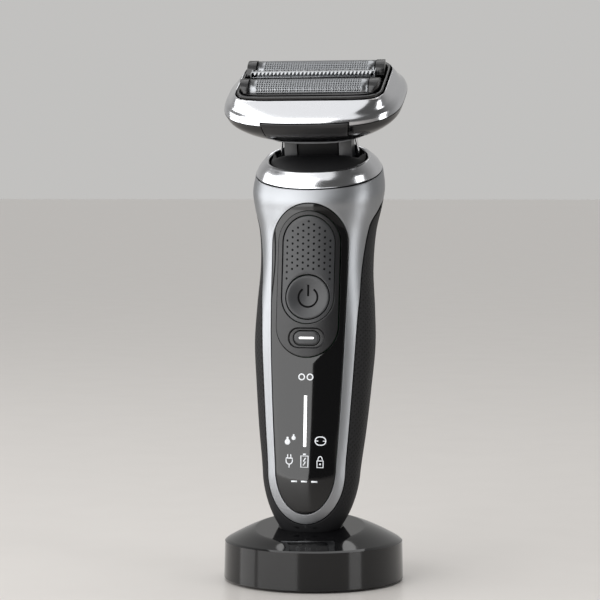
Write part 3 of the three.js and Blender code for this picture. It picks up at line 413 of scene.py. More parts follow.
# Glass-filled nylon: matt black with a dry, coarse grain
mattNylon = grained("matt_black_nylon", "#0e0e10", "#0a0a0c", 0.55, 0.08, 0.5, 0.006,
                    Specular_IOR_Level=0.35)
# Polished nylon of the shaving cassette: black with a wet-looking sheen
polishedNylon = grained("polished_black_nylon", "#08080a", "#060607", 0.22, 0.04, 0.8, 0.003)
# Moulded grey ABS: mid grey with a light tool texture
greyAbs = grained("moulded_grey_abs", "#6d6f72", "#636568", 0.4, 0.06, 0.4, 0.004)
# The yoke's darker grey, with a moulded sheen
yokeAbs = grained("moulded_dark_grey_abs", "#3a3b3d", "#323335", 0.36, 0.05, 0.4, 0.004)
# Drawn spring steel: bright, with lines along the draw
springSteel = grained("drawn_spring_steel", "#cfd0d2", "#c2c3c6", 0.22, 0.06, 0.3, 0.002, 1.0, (1, 1, 0.1))
# Ground stainless blades: bright edges with grinding lines
bladeSteel = grained("ground_stainless_steel", "#a4a6a8", "#929497", 0.26, 0.08, 0.2, 0.003, 1.0, (0.08, 1, 1))
# Electroformed nickel foil: a thin silver sheet, a little greyer than the blades
foilNickel = grained("electroformed_nickel_foil", "#8b8d8f", "#7b7d80", 0.3, 0.05, 0.4, 0.002, 1.0)
# Tumbled silicone of the table foot
footRubber = grained("moulded_silicone_foot", "#151516", "#101011", 0.75, 0.08, 0.6, 0.01)
# Solder mask over copper: green with the tracks' faint relief
circuitGreen = grained("solder_masked_circuit_board", "#1d5a39", "#134229", 0.4, 0.1, 2.2, 0.02)
# Printed shrink sleeve of a lithium cell
cellWrap = grained("blue_shrink_sleeve", "#2f6d9c", "#285f8a", 0.35, 0.05, 3, 0.01)
# Enamelled copper winding: close turns seen as ridges
copperWire = grained("enamelled_copper_wire", "#b4672f", "#8f4c20", 0.3, 0.08, 0.5, 0.03, 1.0, (0.1, 0.1, 1))
# Turned and plated brass contacts
brassPin = grained("turned_brass_contact", "#d2ab55", "#bf9640", 0.25, 0.05, 0.5, 0.003, 1.0)


# White print on the acrylic, lit from behind
def litMaterial(name, colour, glow):
    material, tree = newMaterial(name, colour, 0.4, Emission_Color=linear(colour), Emission_Strength=glow)
    place = addNode(tree, "TexCoord").outputs["Object"]
    noise = addNode(tree, "TexNoise", {"Scale": 1 / (0.6 * mm)}, Vector=place)
    rough = addNode(tree, "MapRange", {"To Min": 0.3, "To Max": 0.5}, Value=noise)
    feed(tree, Roughness=rough)
    return material


litWhite = litMaterial("backlit_white_diffuser", "#ffffff", 1.0)
printWhite = litMaterial("backlit_white_print", "#d4d7db", 0.25)
# Flat black ink: the darkest print, with no gloss
inkBlack = grained("printed_black_ink", "#020203", "#010102", 0.7, 0.05, 0.3, 0.002, Specular_IOR_Level=0.1)

grip = {
    "pitch": 1.8, "dimple": 0.68, "depth": 0.16, "smoothTop": 100, "smoothLow": 12, "fadeTop": 8, "fadeLow": 6,
    # shade is the dimples' painted shade: a near-black colour that stands in for the shadow in each hollow
    "rubber": "#141416", "shade": "#020203", "grain": 0.35,
    "edge": (0, 0.003, 0.007, 0.013), "sinks": (0.28, 0.12, 0.03, 0),  # the edge's rows, and how far they sink
    "columns": 44, "foot": 8, "around": 17.5, "thick": 1.6, "hole": (5.7, 4.2, 3.5),
}


# Soft thermoplastic rubber over the grip: charcoal, with staggered dimples that fade at both ends. Each dimple
# is painted darker, as painted shade in its hollow.
# The pattern follows the surface through a UV map that is in millimetres.
def gripMaterial():
    material, tree = newMaterial("dimpled_soft_rubber", grip["rubber"], 0.6, Specular_IOR_Level=0.3)
    uv = addNode(tree, "UVMap", {"uv_map": "millimetres"})
    pitch = grip["pitch"]
    cells = []
    for shift in (0.0, 0.5):  # two square grids, one in the middles of the other, give the stagger
        moved = addNode(tree, "Mapping", {"Location": (shift, shift, 0), "Scale": (1 / pitch, 1 / pitch, 1)},
                        Vector=uv)
        cell = addNode(tree, "VectorMath", {"operation": "FRACTION"}, in0=moved)
        offset = addNode(tree, "VectorMath", {"operation": "SUBTRACT", 1: (0.5, 0.5, 0)}, in0=cell)
        cells.append(addNode(tree, "VectorMath", {"operation": "LENGTH"}, in0=offset))
    nearest = addNode(tree, "Math", {"operation": "MINIMUM"}, in0=cells[0], in1=cells[1])
    radius = grip["dimple"] / 2 / pitch
    hole = addNode(tree, "MapRange", {"From Min": radius * 0.7, "From Max": radius * 1.3, "To Min": 1.0,
                                      "To Max": 0.0, "interpolation_type": "SMOOTHSTEP"},
                   Value=nearest)
    split = addNode(tree, "SeparateXYZ", Vector=uv)
    fade = hole
    for start, end in ((grip["smoothLow"], grip["smoothLow"] + grip["fadeLow"]),
                       (grip["smoothTop"], grip["smoothTop"] - grip["fadeTop"])):
        shown = addNode(tree, "MapRange", {"From Min": start, "From Max": end}, Value=split.outputs["Y"])
        fade = addNode(tree, "Math", {"operation": "MULTIPLY"}, in0=fade, in1=shown)
    # Painted shade: the dimples take the darker colour, as if shadowed in their hollows
    tint = addNode(tree, "Mix", {"data_type": "RGBA", 6: linear(grip["rubber"]), 7: linear(grip["shade"])},
                   in0=fade)
    place = addNode(tree, "TexCoord").outputs["Object"]
    grain = addNode(tree, "TexNoise", {"Scale": 1 / (grip["grain"] * mm), "Detail": 3.0}, Vector=place)
    fine = addNode(tree, "Bump", {"Distance": 0.01 * mm}, Height=grain)
    sunk = addNode(tree, "Bump", {"Distance": grip["depth"] * mm, "invert": True}, Height=fade, Normal=fine)
    rough = addNode(tree, "MapRange", {"To Min": 0.52, "To Max": 0.7}, Value=grain)
    feed(tree, Base_Color=tint, Roughness=rough, Normal=sunk)
    return material


gripRubber = gripMaterial()
print("materials made")


# Front frame: the metal front with its lens opening, and the band that runs round below the collar

frontFrame = {"low": 7.65, "roundTo": 25.2, "band": 9, "crown": 121, "wall": 1.6, "edge": 0.28, "gap": 0.3,
              "rings": 12, "behind": 30, "bandRows": 8}


def frameHalf(z):
    return handleAt(z)[0] - gripAt(z)[0]


# Where the plane below the band crosses the surface at a turn from the front
def bandHeight(turn, grow=0.0):
    return crossing(lambda height: skinPoint(turn, height), 90, handle["length"], handle["collarTilt"],
                    (0, handle["collarY"], handle["length"]), -frontFrame["band"] - grow)


# The right edge of the frame as turns and heights: from the top of its side, past the start of the lens's
# round top, down to the middle of its foot
def frameEdge(grow, highSteps, sideSteps, footSteps):
    top, low = bandHeight(90, grow), frontFrame["roundTo"]
    mid = lens["top"] - lens["half"]
    heights = [top + (mid - top) * i / highSteps for i in range(1, highSteps)]
    heights += [mid + (low - mid) * i / sideSteps for i in range(sideSteps + 1)]
    edge = [(90, top)]
    for height in heights:
        half, _, _, square = sectionAt(height, 0)
        edge.append((degrees(asin(min(1, (frameHalf(height) + grow) / half) ** (square / 2))), height))
    half, deep = frameHalf(low) + grow, low - frontFrame["low"] + grow
    for i in range(1, footSteps + 1):
        turn = pi / 2 * i / footSteps
        edge.append(skinOf(max(half * cos(turn), 0), low - deep * sin(turn)))
    return edge


# The band's lower edge: above the lens in front, along the plane below the collar behind
def crownHeight(turn):
    low = bandHeight(max(90, min(270, turn % 360)))
    return low + (frontFrame["crown"] - low) * max(0, cos(radians(turn))) ** 1.5


def addMesh(bm, other):
    mesh = bpy.data.meshes.new("part")
    other.to_mesh(mesh)
    other.free()
    bm.from_mesh(mesh)
    bpy.data.meshes.remove(mesh)


def frontFrameMesh():
    n, m, shoulder = steps["arc"], steps["side"], steps["shoulder"]
    across = n - 2 * shoulder
    edge = frameEdge(0, shoulder, m, n // 2)
    side, foot = edge[:shoulder + m], edge[shoulder + m:]
    crown = [90 - 180 * i / across for i in range(across)]
    outer = [(turn, crownHeight(turn)) for turn in crown]
    outer += [(-turn, height) for turn, height in side + foot[:-1]]
    outer += list(reversed(edge[1:]))
    opening = [skinOf(x, z) for x, z in lensOutline(-frontFrame["gap"])]
    inner = opening[shoulder:] + opening[:shoulder]
    count = frontFrame["rings"]
    bm = loopGrid([[skinPoint(*between(a, b, i / count)) for a, b in zip(inner, outer)]
                   for i in range(count + 1)])
    behind, rows, length = frontFrame["behind"], frontFrame["bandRows"], handle["length"]
    turns = crown + [-90 - 180 * i / behind for i in range(behind)]
    band = [[skinPoint(turn, length + (crownHeight(turn) - length) * row / rows) for turn in turns]
            for row in range(rows + 1)]
    addMesh(bm, loopGrid(band))
    bmesh.ops.remove_doubles(bm, verts=bm.verts, dist=0.02)
    return bm


plate(frontFrameMesh(), "front_frame_shell", "handle", "satin_metal", satinSilver, "front_frame",
      wall=frontFrame["wall"], bevel=frontFrame["edge"])
print("front frame made")


# Rear grip: rubber round the back and the tip, with an opening at the tip for the charging plug

def rearGripMesh():
    grow, columns = frontFrame["gap"], grip["columns"]
    edge = frameEdge(grow, 16, 40, 20)
    top = bandHeight(90, grow)
    across = list(grip["edge"]) + [i / (columns - 3) for i in range(1, columns - 2)]
    rows = [[(turn + (180 - turn) * t, height, turn > grip["foot"]) for t in across] for turn, height in edge]
    low = edge[-1][1]
    rows += [[(180 * t, low * (1 - i / 9) ** 1.6, False) for t in across] for i in range(1, 10)]
    points = []
    for row in rows:
        placed = []
        for (turn, height, edged), sink in zip(row, grip["sinks"] + (0,) * columns):
            end = bandHeight(max(turn, 90), grow)
            placed.append(skinPoint(turn, height + (end - top) * (height / top) ** 6, -sink if edged else 0))
        points.append(placed)
    bm = loopGrid(points, closed=False)
    layer = bm.loops.layers.uv.new("millimetres")
    for face in bm.faces:
        for loop in face.loops:
            co = loop.vert.co
            loop[layer].uv = (atan2(co.x, co.y + 1e-9) * grip["around"], co.z)
    bmesh.ops.mirror(bm, geom=bm.verts[:] + bm.edges[:] + bm.faces[:], axis="X", merge_dist=1e-4)
    x, y, top = grip["hole"]
    for point, normal in (((x, 0, 0), (1, 0, 0)), ((-x, 0, 0), (1, 0, 0)), ((0, y, 0), (0, 1, 0)),
                          ((0, -y, 0), (0, 1, 0))):
        cutAlong(bm, [f for f in bm.faces if centre(f).z < top], point, normal)
    cutOut(bm, [f for f in bm.faces if abs(centre(f).x) < x and abs(centre(f).y) < y and centre(f).z < top])
    return bm


plate(rearGripMesh(), "rear_grip_shell", "handle", "grip_rubber", gripRubber, "rear_grip", wall=grip["thick"],
      smooth=60)
print("rear grip made")


# Display lens, button bezel and thumb pad: plates that follow the front, one inside the other

bezel = {"half": 10.35, "low": 62.5, "top": 110.4, "proud": 0.7, "thick": 1.5, "edge": 0.18, "gap": 0.3,
         "split": 72.45, "wellHalf": 5.75, "wellHigh": 3, "browSide": 0.5, "browHigh": 0.45}
pad = {"half": 8.7, "top": 108.9, "proud": 0.35, "thick": 1.1, "edge": 0.2}
power = {"z": 82.2, "radius": 7.25, "dish": 0.9, "dishShare": 0.93, "thick": 1.75,
         "rim": [(0.965, 0.02), (0.99, 0.1), (1, 0.25)], "mark": 3.2, "stroke": 0.62}
power["face"] = 0.1 - handleAt(power["z"])[1]
modeButton = {"z": 68.7, "half": 4.35, "high": 2.3, "rim": 0.35, "proud": 0.2, "deep": 0.5, "flat": 2.05,
              "wall": 0.4, "lightHalf": 2.5, "lightHigh": 0.33, "lightFlat": 2.2}


def addLens():
    gap = bezel["gap"]
    hole = capsule(bezel["half"] + gap, bezel["low"] - gap, bezel["top"] + gap, taken=65, straight=15)
    rings = panelRings([(hole, 0), (lensOutline(0), 0)], [22])
    plate(loopGrid(rings), "display_lens_plate", "handle", "gloss_black", lensAcrylic, "display_lens",
          wall=lens["thickness"], bevel=lens["edge"])


addLens()


# The level mode button's outline, in the same four parts
def barOutline(half, high, middle, n, m):
    mid = half - high
    left, right = arc(middle, high, 90, 270, m), arc(middle, high, -90, 90, m)
    return (line((mid, middle + high), (-mid, middle + high), n) + [(x - mid, z) for x, z in left]
            + line((-mid, middle - high), (mid, middle - high), n) + [(x + mid, z) for x, z in right])


def bezelMesh():
    n, m, gap, ends = steps["arc"], steps["side"], bezel["gap"], steps["end"]
    half, low, top = bezel["half"], bezel["low"], bezel["top"]
    split, proud = bezel["split"], bezel["proud"]
    foot = low + half
    edgeX = sqrt(half ** 2 - (foot - split) ** 2)
    corner = degrees(atan2(split - foot, edgeX))
    padHole = capsule(pad["half"] + gap, power["z"] - pad["half"] - gap, pad["top"] + gap)
    outer = (arc(top - half, half, 0, 180, n) + line((-half, top - half), (-edgeX, split), m)
             + line((-edgeX, split), (edgeX, split), n) + line((edgeX, split), (half, top - half), m))
    upper = loopGrid(panelRings([(padHole, proud), (outer, proud)], [4]))
    modeZ, wellHalf, wellHigh = modeButton["z"], bezel["wellHalf"], bezel["wellHigh"]
    modeHole = barOutline(modeButton["half"] + gap, modeButton["high"] + gap, modeZ, n, ends)
    well = barOutline(wellHalf, wellHigh, modeZ, n, ends)
    brow = barOutline(wellHalf + bezel["browSide"], wellHigh + bezel["browHigh"], modeZ, n, ends)
    lower = (line((edgeX, split), (-edgeX, split), n) + arc(foot, half, 180 - corner, 225, ends)
             + arc(foot, half, 225, 315, n) + arc(foot, half, 315, 360 + corner, ends))
    rings = panelRings([(modeHole, 0), (well, 0), (brow, proud), (lower, proud)], [1, 3, 8])
    bm = loopGrid(rings)
    addMesh(bm, upper)
    bmesh.ops.remove_doubles(bm, verts=bm.verts, dist=0.01)
    return bm


plate(bezelMesh(), "button_bezel_plate", "handle", "satin_black", satinAbs, "button_bezel",
      wall=bezel["thick"], bevel=bezel["edge"])


def addPad():
    gap = bezel["gap"]
    hole = circle(power["radius"] + gap, power["z"])
    edge = capsule(pad["half"], power["z"] - pad["half"], pad["top"])
    rings = panelRings([(hole, pad["proud"]), (edge, pad["proud"])], [14])
    plate(loopGrid(rings), "thumb_pad_plate", "handle", "satin_black", buttonAbs, "thumb_pad",
          wall=pad["thick"], bevel=pad["edge"], segments=2)


addPad()

dots = {"across": 1.8, "along": 2.1, "margin": 1.7, "clear": 1.9, "edge": 1.3, "radius": 0.4, "rise": 0.07,
        "sides": 12, "columns": 4, "rows": 14}


# Small flat dark studs in staggered columns that stop round the power button
def addDots():
    bm = bmesh.new()
    middle = pad["top"] - pad["half"]
    for column in range(-dots["columns"], dots["columns"] + 1):
        for row in range(dots["rows"]):
            x = column * dots["across"]
            z = pad["top"] - dots["margin"] - (row + column % 2 / 2) * dots["along"]
            inPad = z < middle or hypot(x, z - middle) < pad["half"] - dots["edge"]
            if not inPad or hypot(x, z - power["z"]) < power["radius"] + dots["clear"]:
                continue
            place = frontPoint(x, z, pad["proud"])
            outward = (frontPoint(x, z, pad["proud"] + 1) - place).normalized()
            made = bmesh.ops.create_cone(bm, cap_ends=True, segments=dots["sides"], radius1=dots["radius"],
                                         radius2=dots["radius"] * 0.7, depth=dots["rise"])
            spin = outward.to_track_quat("Z", "Y").to_matrix().to_4x4()
            bmesh.ops.transform(bm, matrix=Matrix.Translation(place + outward * dots["rise"] * 0.5) @ spin,
                                verts=made["verts"])
    piece(bm, "thumb_pad_dots", "handle", "satin_black", inkBlack, handlePlace)


addDots()


# Power button: a spun dish with a raised power mark

def dishDepth(r):
    share = min(1, r / (power["radius"] * power["dishShare"]))
    return power["face"] + power["dish"] * cos(share * pi / 2) ** 1.3


def addPowerButton():
    bm = bmesh.new()
    rim, face, back = power["radius"], power["face"], power["face"] + power["thick"]
    profile = [(r, dishDepth(r)) for r in (rim * power["dishShare"] * i / 14 for i in range(15))]
    profile += [(rim * share, face + deep) for share, deep in power["rim"]] + [(rim, back), (0, back)]
    verts = [bm.verts.new((r, y, 0)) for r, y in profile]
    edges = [bm.edges.new(pair) for pair in zip(verts, verts[1:])]
    bmesh.ops.spin(bm, geom=verts + edges, axis=(0, 1, 0), cent=(0, 0, 0), angle=2 * pi, steps=72,
                   use_merge=True)
    bmesh.ops.remove_doubles(bm, verts=bm.verts, dist=1e-4)
    bmesh.ops.translate(bm, vec=(0, 0, power["z"]), verts=bm.verts)
    piece(bm, "power_button_dish", "power_button", "satin_black", buttonAbs, handlePlace, ["power_button"],
          middle=(0, face + 1, power["z"]), smooth=40)


# A flat stroke along points of the front view; surface gives each of its points a place.
def ribbon(bm, points, width, surface, closed=False):
    flat = [Vector((x, z)) for x, z in points]
    count = len(flat)
    pairs = []
    for i, p in enumerate(flat):
        before = flat[i - 1] if i or closed else p
        after = flat[(i + 1) % count] if i + 1 < count or closed else p
        along = (after - before).normalized()
        side = Vector((-along.y, along.x)) * width / 2
        pairs.append([bm.verts.new(surface(*(p + side))), bm.verts.new(surface(*(p - side)))])
    last = count if closed else count - 1
    for i in range(last):
        (a, b), (c, d) = pairs[i], pairs[(i + 1) % count]
        bm.faces.new((a, b, d, c))


def ringPoints(x, z, radius, start=0, end=360, count=24, high=None):
    turns = [radians(start + (end - start) * i / count) for i in range(count + 1)]
    return [(x + radius * cos(t), z + (high or radius) * sin(t)) for t in turns]


def addPowerMark():
    bm = bmesh.new()
    z = power["z"]

    def onDish(x, height):
        return Vector((x, dishDepth(hypot(x, height - z)) - 0.07, height))
    ribbon(bm, ringPoints(0, z, power["mark"], 125, 415, 40), power["stroke"], onDish)
    ribbon(bm, line((0, z + 0.4), (0, z + 4.1), 8) + [(0, z + 4.1)], power["stroke"], onDish)
    piece(bm, "power_mark", "power_button", "matt_black", inkBlack, handlePlace, middle=(0, 0, z), wall=0.03)


addPowerButton()
addPowerMark()


# Mode button: a level capsule with a lit bar across it

# The straight line along the middle of an outline, to close its rings on
def spineOf(outline, half, z):
    return [(max(-half, min(half, x)), z) for x, _ in outline]


def addModeButton():
    n, z, rim, proud = steps["arc"], modeButton["z"], modeButton["rim"], modeButton["proud"]
    cap = barOutline(modeButton["half"], modeButton["high"], z, n, steps["end"])
    face = barOutline(modeButton["half"] - rim, modeButton["high"] - rim, z, n, steps["end"])
    rings = panelRings([(cap, -modeButton["deep"]), (cap, -0.02), (face, proud),
                        (spineOf(cap, modeButton["flat"], z), proud)], [1, 3, 5])
    plate(loopGrid(rings), "mode_button_cap", "mode_button", "satin_black", buttonAbs, "mode_button",
          wall=modeButton["wall"])
    bar = barOutline(modeButton["lightHalf"], modeButton["lightHigh"], z, n, 8)
    lit = panelRings([(bar, proud - 0.03), (bar, proud + 0.03),
                      (spineOf(bar, modeButton["lightFlat"], z), proud + 0.05)], [1, 2])
    plate(loopGrid(lit), "mode_light_bar", "mode_button", "white_light", litWhite, "mode_light")


addModeButton()


# Display marks: a level bar and small symbols of a plain general design

marks = {"levelLow": 33, "levelTop": 49.8, "levelWide": 0.95, "rowOne": 35, "rowTwo": 28.2, "dashes": 21.6,
         "rings": 55.9, "side": 5.2, "proud": 0.035, "thick": 0.03, "core": (0, 0, 48)}


def onLens(x, z):
    return frontPoint(x, z, marks["proud"])


def symbolsMesh():
    bm = bmesh.new()

    def stroke(points, width=0.32, closed=False):
        ribbon(bm, points, width, onLens, closed)

    def disc(x, z, radius):
        ribbon(bm, ringPoints(x, z, radius * 0.52, 0, 345, 16), radius * 0.96, onLens, True)

    one, two, side = marks["rowOne"], marks["rowTwo"], marks["side"]
    for x, z, size in ((-side - 0.7, one - 0.5, 0.95), (-side + 1.4, one + 0.8, 0.7)):  # two water drops
        disc(x, z, size)
        ribbon(bm, [(x, z + size * 0.3), (x, z + size * 1.1), (x, z + size * 1.75)], size * 0.75, onLens)
    stroke([(x + side, z) for x, z in barOutline(1.75, 1.35, one, 3, 8)], 0.34, True)  # the shaving head
    stroke([(side - 1.6, one), (side + 1.6, one)], 0.3)
    stroke(ringPoints(-side, two + 0.1, 1.1, 180, 360, 10) + [(-side + 1.1, two + 1), (-side - 1.1, two + 1)],
           0.34, True)  # the plug
    for x in (-side - 0.55, -side + 0.55):
        stroke([(x, two + 1.1), (x, two + 2.2)], 0.32)
    stroke([(-side, two - 1), (-side, two - 2.2)], 0.34)
    stroke([(-1.2, two - 1.9), (-1.2, two + 1.8), (1.2, two + 1.8), (1.2, two - 1.9)],
           0.36, True)  # the battery
    stroke([(-0.5, two + 2.35), (0.5, two + 2.35)], 0.5)
    stroke([(0.4, two + 1.2), (-0.35, two), (0.35, two - 0.1), (-0.4, two - 1.3)], 0.36)
    stroke([(side - 1, two - 1.9), (side - 1, two + 0.3), (side + 1, two + 0.3), (side + 1, two - 1.9)],
           0.36, True)  # the lock
    stroke(ringPoints(side, two + 0.5, 0.72, 0, 180, 10, 1.25), 0.3)
    disc(side, two - 0.8, 0.32)
    for x in (-3.4, 0, 3.4):  # three short dashes below
        stroke([(x - 1.0, marks["dashes"]), (x + 1.0, marks["dashes"])], 0.55)
    for x in (-1.4, 1.4):  # two small rings above the level bar
        stroke(ringPoints(x, marks["rings"], 0.95, 0, 345, 18), 0.4, True)
    return bm


def levelBarMesh():
    bm = bmesh.new()
    low, top = (0, marks["levelLow"]), (0, marks["levelTop"])
    ribbon(bm, line(low, top, 14) + [top], marks["levelWide"], onLens)
    return bm


piece(levelBarMesh(), "charge_level_bar", "handle", "white_light", litWhite, handlePlace,
      wall=marks["thick"], middle=marks["core"])
piece(symbolsMesh(), "display_symbols", "handle", "white_light", printWhite, handlePlace,
      wall=marks["thick"], middle=marks["core"])
print("controls made")


# Collar ring, boot and neck. A station is a place on the profile, then half width, depth and height.

collar = {
    "square": 2.15, "count": 96, "stations": [[0, 21.4, 17, 0.3], [1, 20.15, 15.8, 2.6], [2, 17.9, 13.8, 5]],
    "outerRim": [(21.2, 16.8, 0.3), (21.4, 17, 0.45)],
    "inside": [(17.7, 13.6, 5.05), (17.4, 13.3, 5.0), (17.1, 13.0, 4.85), (16.8, 12.7, 4.6), (16.5, 12.4, 1),
               (16.4, 12.3, -1.2), (17.6, 13.5, -1.2), (17.7, 13.6, 0.3)],
}


def addCollar():
    profile = curveThrough(collar["stations"])
    sizes = collar["outerRim"] + [profile(2 * i / 14) for i in range(1, 15)] + collar["inside"]
    loops = [raised(oval(half, deep, deep, collar["square"], collar["count"]), z) for half, deep, z in sizes]
    piece(loopGrid(loops + loops[:1]), "collar_ring_chrome", "handle", "chrome_plate", chromePlate, collarPlace,
          ["collar_ring"], smooth=40, middle=(0, 0, -60))


addCollar()

boot = {"rim": (16.1, 12, 12, 2.15), "mouth": (14, 4, 8.6, 4), "low": 4.1, "rise": 3.1, "endDrop": 0.6,
        "wireRoom": 1.7, "wireY": 3.5, "wall": 0.45, "edge": 0.12, "count": 72, "rows": 12}


def addBoot():
    mouth = []
    for p in oval(*boot["mouth"], boot["count"]):
        room = boot["wireRoom"] * exp(-((p.y - boot["wireY"]) / 2.8) ** 2)  # room for the wires at the sides
        mouth.append(Vector((p.x + copysign(room, p.x) * min(1, abs(p.x) / 10), p.y, 0)))
    rim = oval(*boot["rim"], boot["count"])
    rows = []
    for i in range(boot["rows"] + 1):
        t = i / boot["rows"]
        rise = boot["rise"] * sin(t * pi / 2) ** 0.9
        ends = [1 - boot["endDrop"] * min(1, abs(b.x) / boot["mouth"][0]) ** 6 for b in mouth]
        rows.append([Vector((*(a.xy.lerp(b.xy, t)), boot["low"] + rise * end))
                     for a, b, end in zip(rim, mouth, ends)])
    piece(loopGrid(rows), "neck_boot_cone", "handle", "matt_black", mattNylon, collarPlace, ["neck_boot"],
          wall=boot["wall"], bevel=boot["edge"], smooth=50, middle=(0, 2, -40))


addBoot()
softened("neck_yoke", "neck", "grey_plastic", yokeAbs, 0.5, 3)
softened("neck_core", "neck", "matt_black", mattNylon, 0.3)
softened("neck_base", "handle", "matt_black", mattNylon, 0.25)


wire = {"radius": 0.45, "y": 3.5, "bend": [(13.4, 2.6), (13.25, 4.5), (13.05, 6.6), (12.85, 8.6), (12.65, 10.4),
                                             (12.45, 12), (12.3, 13.3)]}


# Spring wires: round steel wire, bent in a little at the top
def addSpring(name, side):
    path = [Vector((side * x, wire["y"], z)) for x, z in wire["bend"]]
    rings = []
    for i, p in enumerate(path):
        along = (path[min(i + 1, len(path) - 1)] - path[max(i - 1, 0)]).normalized()
        spin = along.to_track_quat("Z", "Y").to_matrix()
        rings.append([p + spin @ v for v in oval(wire["radius"], wire["radius"], wire["radius"], 2, 16)])
    ends = [[path[0]] * 16] + rings + [[path[-1]] * 16]
    piece(loopGrid(ends), name + "_wire", "neck", "steel", springSteel, collarPlace, [name], smooth=50,
          middle=(side * 12.9, wire["y"], 8))


addSpring("return_spring_left", -1)
addSpring("return_spring_right", 1)
print("collar and neck made")


# Head: a gloss bowl under a chrome trim ring

head = {
    "half": 30.3, "deep": 21.5, "square": 3, "wall": 0.5, "count": 120, "mouth": (12.2, 5.3), "edge": 0.15,
    "stations": [[0, 20, 15, -9], [1, 25, 18, -6.5], [2, 28.8, 20.3, -3.5], [3, 30.3, 21.5, -0.3]],
}
release = {"lowHalf": 13.6, "half": 14.6, "low": -4.6, "high": 0.8, "proud": 0.25, "room": 3.6, "gap": 0.35,
           "wall": 1.2, "edge": 0.3, "count": 160}
bowlAt = curveThrough(head["stations"])


def bowlLoop(t, out, count):
    half, deep, z = bowlAt(t)
    return raised(oval(half + out, deep + out, deep + out, head["square"], count), z - (out if t < 0.02 else 0))


# Cuts the outline of a release button through the front or the back of a head piece.
def cutWindow(bm, side, grow, keepInside=False):
    low, high = release["low"] - grow, release["high"] + grow
    lowHalf, half = release["lowHalf"] + grow, release["half"] + grow
    corners = [(-lowHalf, low), (lowHalf, low), (half, high), (-half, high)]
    planes = [(Vector((x0, 0, z0)), Vector((z1 - z0, 0, x0 - x1)).normalized())
              for (x0, z0), (x1, z1) in zip(corners, corners[1:] + corners[:1])]
    for point, normal in planes:
        near = [f for f in bm.faces if centre(f).y * side > 12 and abs(centre(f).x) < release["half"] + 3]
        cutAlong(bm, near, point, normal)

    def inside(f):
        return centre(f).y * side > 12 and all((centre(f) - p).dot(n) < 0 for p, n in planes)
    cutOut(bm, [f for f in bm.faces if inside(f) != keepInside])


def addHousing():
    half, deep = head["mouth"]
    mouth = [Vector((max(-half, min(half, p.x * 1.6)), max(-deep, min(deep, p.y * 1.6)), -9))
             for p in oval(half, deep, deep, 6, head["count"])]
    bottom = bowlLoop(0, 0, head["count"])
    loops = [[a.lerp(b, t) for a, b in zip(mouth, bottom)] for t in (0, 0.25, 0.5, 0.75, 0.93)]
    bm = loopGrid(loops + [bowlLoop(3 * i / 26, 0, head["count"]) for i in range(27)])
    for side in (-1, 1):
        cutWindow(bm, side, release["gap"])
    piece(bm, "head_housing_bowl", "head", "gloss_black", pianoBlack, headPlace, ["head_housing"],
          wall=head["wall"], bevel=head["edge"], smooth=40, middle=(0, 0, 2), bevelAngle=50)


addHousing()


def addReleaseButton(side, word):
    out, count = release["proud"], release["count"]
    top = oval(head["half"] + out, head["deep"] + out, head["deep"] + out, head["square"], count)
    rows = [bowlLoop(1 + 2 * i / 20, out, count) for i in range(21)]
    bm = loopGrid(rows + [raised(top, z) for z in (0.1, 0.5, 1.5)])
    cutWindow(bm, side, 0, keepInside=True)
    piece(bm, "release_button_" + word + "_cap", "release_" + word, "satin_black", satinAbs, headPlace,
          ["release_button_" + word], wall=release["wall"], bevel=release["edge"], segments=3, smooth=50,
          middle=(0, 0, -3))


addReleaseButton(-1, "front")
addReleaseButton(1, "rear")

# A station is a place on the profile, then half width, depth, height and squareness.
trimRing = {
    "stations": [[0, 30.3, 21.5, 0, 3], [1, 29.7, 20.8, 1.5, 3], [2, 28, 19, 3.2, 3.2], [3, 25.7, 15.1, 5.7, 5],
                 [4, 25.3, 14.6, 6, 6]],
    "inside": [(25.2, 14.5, 5.95, 6.5), (25.1, 14.4, 5.7, 7), (25.1, 14.4, 3, 7), (25.1, 14.4, 0, 7)],
    "count": 144, "notch": 1.1,
}


# The ring has a notch over each release button, open below, where the cap moves in and out.
def addTrimRing():
    outer = curveThrough(trimRing["stations"])
    sizes = [outer(4 * i / 30) for i in range(31)] + trimRing["inside"]
    loops = [raised(oval(half, deep, deep, square, trimRing["count"]), z) for half, deep, z, square in sizes]
    bm = loopGrid(loops + loops[:1])
    faceOut(bm, (0, 0, -30))
    reach, top = release["half"] + release["gap"], trimRing["notch"]
    for side in (-1, 1):
        def near(deep, high):
            return [f for f in bm.faces if centre(f).y * side > deep and centre(f).z < high]
        for x in (reach, -reach):
            cutAlong(bm, near(16.5, 1.6), (x, 0, 0), (1, 0, 0))
        cutAlong(bm, [f for f in near(15, 2.2) if abs(centre(f).x) < 16], (0, 0, top), (0, 0, 1))
        sunk = [f for f in near(16.8, top) if abs(centre(f).x) < reach and f.normal.y * side > 0.2]
        drawOut(bm, sunk, (0, -side * release["room"], 0))
        under = [f for f in near(14, 0.01) if centre(f).z > -0.01 and abs(centre(f).x) < reach]
        cutOut(bm, [f for f in sunk if f.is_valid] + under)
    piece(bm, "head_trim_ring_chrome", "head", "chrome_plate", chromePlate, headPlace, ["head_trim_ring"],
          smooth=40)


addTrimRing()
softened("head_base_tray", "head", "grey_plastic", greyAbs, 0.2)
print("head made")


# Cassette: a dark frame, two perforated foils in holders, and the trimmer between them

foil = {"radius": 3.9, "axis": 5.9, "y": 6.8, "half": 20, "leg": 5.6, "pitch": 0.8, "rows": 16, "web": 0.13,
        "strip": 2.3, "sheet": 0.09}


def archPoint(x, y, t, radius):
    legs = foil["axis"] - foil["leg"]
    total = 2 * legs + pi * radius
    along = t * total
    if along < legs:
        return Vector((x, y - radius, foil["leg"] + along))
    if along > total - legs:
        return Vector((x, y + radius, foil["leg"] + total - along))
    turn = pi - (along - legs) / radius
    return Vector((x, y + radius * cos(turn), foil["axis"] + radius * sin(turn)))


